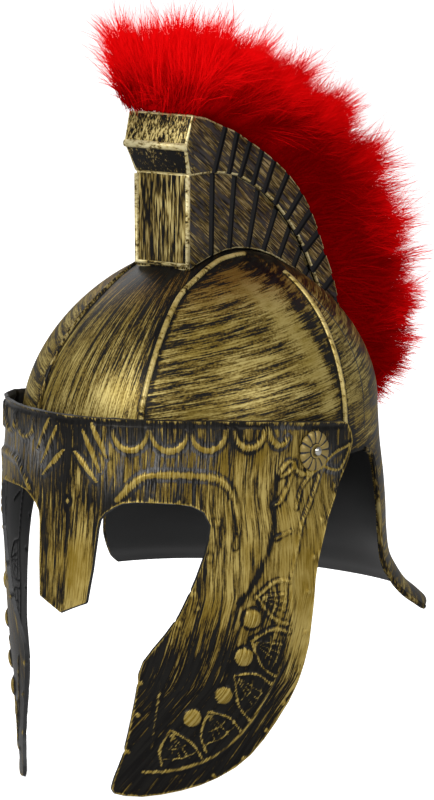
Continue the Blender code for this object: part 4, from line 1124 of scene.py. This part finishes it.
def plumeTufts(name, count, low, high, line, ahead):
    # root, aim, length and bend of each tuft, from its share along the crest and its turn aside
    share = low + (high - low) * random.random(count)
    share = np.where(random.random(count) < 0.18 * (low == 0), 0.03 * random.random(count), share)
    place = share * (len(line) - 1)
    i = place.astype(int).clip(0, len(line) - 2)
    part = (place - i)[:, None]
    spot = line[i] * (1 - part) + line[i + 1] * part
    along = np.column_stack([np.zeros(count), ahead[i]])
    up = np.column_stack([np.zeros(count), -ahead[i, 1], ahead[i, 0]])
    across = 2 * random.random(count) - 1
    narrow = 1 - (1 - plume["frontSpread"]) * held(1 - share / 0.16)
    turn = np.radians(plume["spread"]) * across * narrow
    out = up * np.cos(turn)[:, None] + np.column_stack([np.sin(turn), np.zeros((count, 2))])
    slant = random.normal(*plume["slant"], count)
    slant -= 0.3 * random.random(count) * held(1 - share / 0.06)
    slant += 0.4 * random.random(count) * held((share - 0.95) / 0.05)
    aim = unit(out + along * slant[:, None] + random.normal(0, plume["scatter"], (count, 3)))
    lumps = 0.93 + 0.05 * np.sin(34 * share + 3 * turn) + 0.05 * np.sin(71 * share - 5 * turn + 1)
    reach = plume["reach"] * spot[:, 2]
    gather = np.zeros((count, 3))
    for lockShare, lockTurn, more in plume["locks"]:
        # tufts near a lock lengthen and lean to its tip
        swing = math.radians(lockTurn)
        pull = hump(share - lockShare, plume["lockAlong"]) * hump(turn - swing, plume["lockAside"])
        lumps += plume["lockGrowth"] * more * pull
        at = int(lockShare * (len(line) - 1))
        lockUp = ahead[at, ::-1] * (-math.cos(swing), math.cos(swing))
        lockOut = np.array([math.sin(swing), *lockUp])
        tip = np.array([plume["rootHalf"] * lockTurn / plume["spread"], line[at, 0], line[at, 1]])
        tip = tip + lockOut * plume["reach"] * line[at, 2] * (1.1 + more)
        gather += (tip - np.column_stack([plume["rootHalf"] * across, spot[:, :2]])) * pull[:, None]
    depth = reach * (0.04 + 0.72 * random.random(count) ** 0.8)
    depth *= np.where(share < 0.05, random.random(count), 1)
    length = np.clip(reach * lumps * (0.86 + 0.22 * random.random(count)) - depth, *plume["length"])
    length += plume["wispLength"] * (random.random(count) < plume["wisps"])
    wide = plume["rootHalf"] + plume["frontFoot"] * held(1 - share / 0.08)
    foot = np.column_stack([wide * across, spot[:, :2]]) + up * plume["rootLift"]
    toTip = unit(gather) * held(np.linalg.norm(gather, axis=1, keepdims=True) / 40)
    foot = foot - along * (5 * random.random(count) * (share < 0.03))[:, None]
    root = foot + unit(out + 0.5 * toTip) * depth[:, None]
    aim = unit(aim + plume["lockLean"] * toTip)
    curl = random.normal(0, plume["curl"], (count, 3)) + np.array([0, 0, -0.05])
    # painted light and shade: tufts at the front lighter, those at the rear a little darker, with a
    # random spread per tuft
    shade = random.normal(0, 0.16, count) + 0.9 * held(1 - share / 0.35) - 0.08 * (share > 0.5)

    # each barb is two quads and a triangle, from a wide base to a point
    many = (count, plume["barbs"])
    base = root[:, None] + random.normal(0, plume["rootScatter"], (*many, 3))
    size = (length[:, None] * (0.55 + 0.5 * random.random(many)))[..., None]
    drift = random.normal(0, plume["drift"], (*many, 3))
    flat = unit(np.cross(aim[:, None] + drift, random.normal(0, 1, (*many, 3))))
    width = plume["barbWidth"] * (0.7 + 0.6 * random.random(many))[..., None]
    soft = plume["overhang"]
    verts, paintedLight = [], []
    for t, thick in ((0, 0.8), (0.36, 1.0), (0.7, 0.7), (1.0, 0.0)):
        centre = base + size * (aim[:, None] * t + curl[:, None] * t**2 + drift * t**1.6)
        away = np.linalg.norm(centre - foot[:, None], axis=-1) / reach[:, None]
        # painted shade near the roots, deep in the plume, and painted light towards the tips
        value = held((away - 0.50) / 0.55 + shade[:, None])
        for axis in (1, 2):
            past = centre[..., axis] - cadBox[1][axis] / mm - plume["bendFrom"]
            centre[..., axis] -= np.where(past > 0, past - soft * np.tanh(past / soft), 0)
        half = flat * width * thick / 2
        verts += [centre - half, centre + half] if thick else [centre]
        paintedLight += [value, value] if thick else [value]
    verts = np.stack(verts, 2).reshape(-1, 3) * mm
    start = 7 * np.arange(count * plume["barbs"])[:, None]
    quads = np.vstack([start + (0, 1, 3, 2), start + (2, 3, 5, 4)])
    piece = newPiece(name, verts.tolist(), quads.tolist() + (start + (4, 5, 6)).tolist())
    paintValue(piece, "tip", np.stack(paintedLight, 2).ravel())
    wear(piece, feather)
    return piece


feather = featherMaterial()
plumeRun = plumeLine()
plumeParts = [plumeCore(*plumeRun)]
for number in range(plume["pieces"]):
    low, high = number / plume["pieces"], (number + 1) / plume["pieces"]
    count = plume["tufts"] // plume["pieces"]
    plumeParts.append(plumeTufts(f"plumeTufts{number + 1}", count, low, high, *plumeRun))
for part in plumeParts:
    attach(part, "bowl")
    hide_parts("plume")
print("plume made")

# Floor, light and camera
stage = {
    "azimuth": 37, "elevation": 9.5, "distance": 2.5, "offset": 0.0103, "height": -0.0875,
    "pixel": 0.572e-3, "frameHeight": 800, "skyLight": 0.30, "glow": 1.0, "size": 60,
    "below": 0.0005,
}


def glowToCamera(tree, socket, low, high):
    # a strength of low for the light on the piece and of high for what the camera sees
    seen = tree.nodes.new("ShaderNodeLightPath")
    strength = tree.nodes.new("ShaderNodeMapRange")
    strength.inputs["To Min"].default_value = low
    strength.inputs["To Max"].default_value = high
    tree.links.new(seen.outputs["Is Camera Ray"], strength.inputs["Value"])
    tree.links.new(strength.outputs["Result"], socket)


lowest = min(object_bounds()[0].z, cadBox[0].z)
bpy.ops.mesh.primitive_plane_add(size=stage["size"], location=(0, 0, lowest - stage["below"]))
floor = bpy.context.object
floor.name = "floor"
floorWhite = plainMaterial("floorWhite", (0.92, 0.92, 0.92), 0.9, 0.0, 2000.0, 0.0)
floorShader = floorWhite.node_tree.nodes["Principled BSDF"]
floorShader.inputs["Emission Color"].default_value = (1, 1, 1, 1)
glowToCamera(floorWhite.node_tree, floorShader.inputs["Emission Strength"], 0.0, stage["glow"])
wear(floor, floorWhite)
bpy.ops.object.transform_apply(location=True, rotation=True, scale=True)

world = bpy.data.worlds.new("softSky")
bpy.context.scene.world = world
world.use_nodes = True
sky = world.node_tree.nodes["Background"]
sky.inputs["Color"].default_value = (1, 1, 1, 1)
glowToCamera(world.node_tree, sky.inputs["Strength"], stage["skyLight"], stage["glow"])

lamps = [
    ("keyLamp", (-0.1, -2.1, 1.4), 0.8, 50),
    ("sideLamp", (2.2, -0.1, 0.8), 0.8, 18),
    ("rimLamp", (-1.6, 0.9, 1.2), 0.9, 7),
]
for name, spot, size, watts in lamps:
    bpy.ops.object.light_add(type="AREA", location=spot)
    lamp = bpy.context.object
    lamp.name = name
    lamp.data.size = size
    lamp.data.energy = watts
    aim = Vector((0, 0, -0.05)) - Vector(spot)
    lamp.rotation_euler = aim.to_track_quat("-Z", "Y").to_euler()

azimuth, elevation = math.radians(stage["azimuth"]), math.radians(stage["elevation"])
target = Vector((math.cos(azimuth) * stage["offset"], math.sin(azimuth) * stage["offset"],
                 stage["height"]))
back = Vector((math.sin(azimuth) * math.cos(elevation), -math.cos(azimuth) * math.cos(elevation),
               math.sin(elevation)))
bpy.ops.object.camera_add(location=target + back * stage["distance"])
camera = bpy.context.object
camera.rotation_euler = (-back).to_track_quat("-Z", "Y").to_euler()
camera.data.sensor_fit = "VERTICAL"
camera.data.sensor_height = 36
framed = stage["pixel"] * stage["frameHeight"]
camera.data.lens = stage["distance"] / framed * camera.data.sensor_height
bpy.context.scene.camera = camera
bpy.context.scene.view_settings.view_transform = "Standard"
print("stage set")
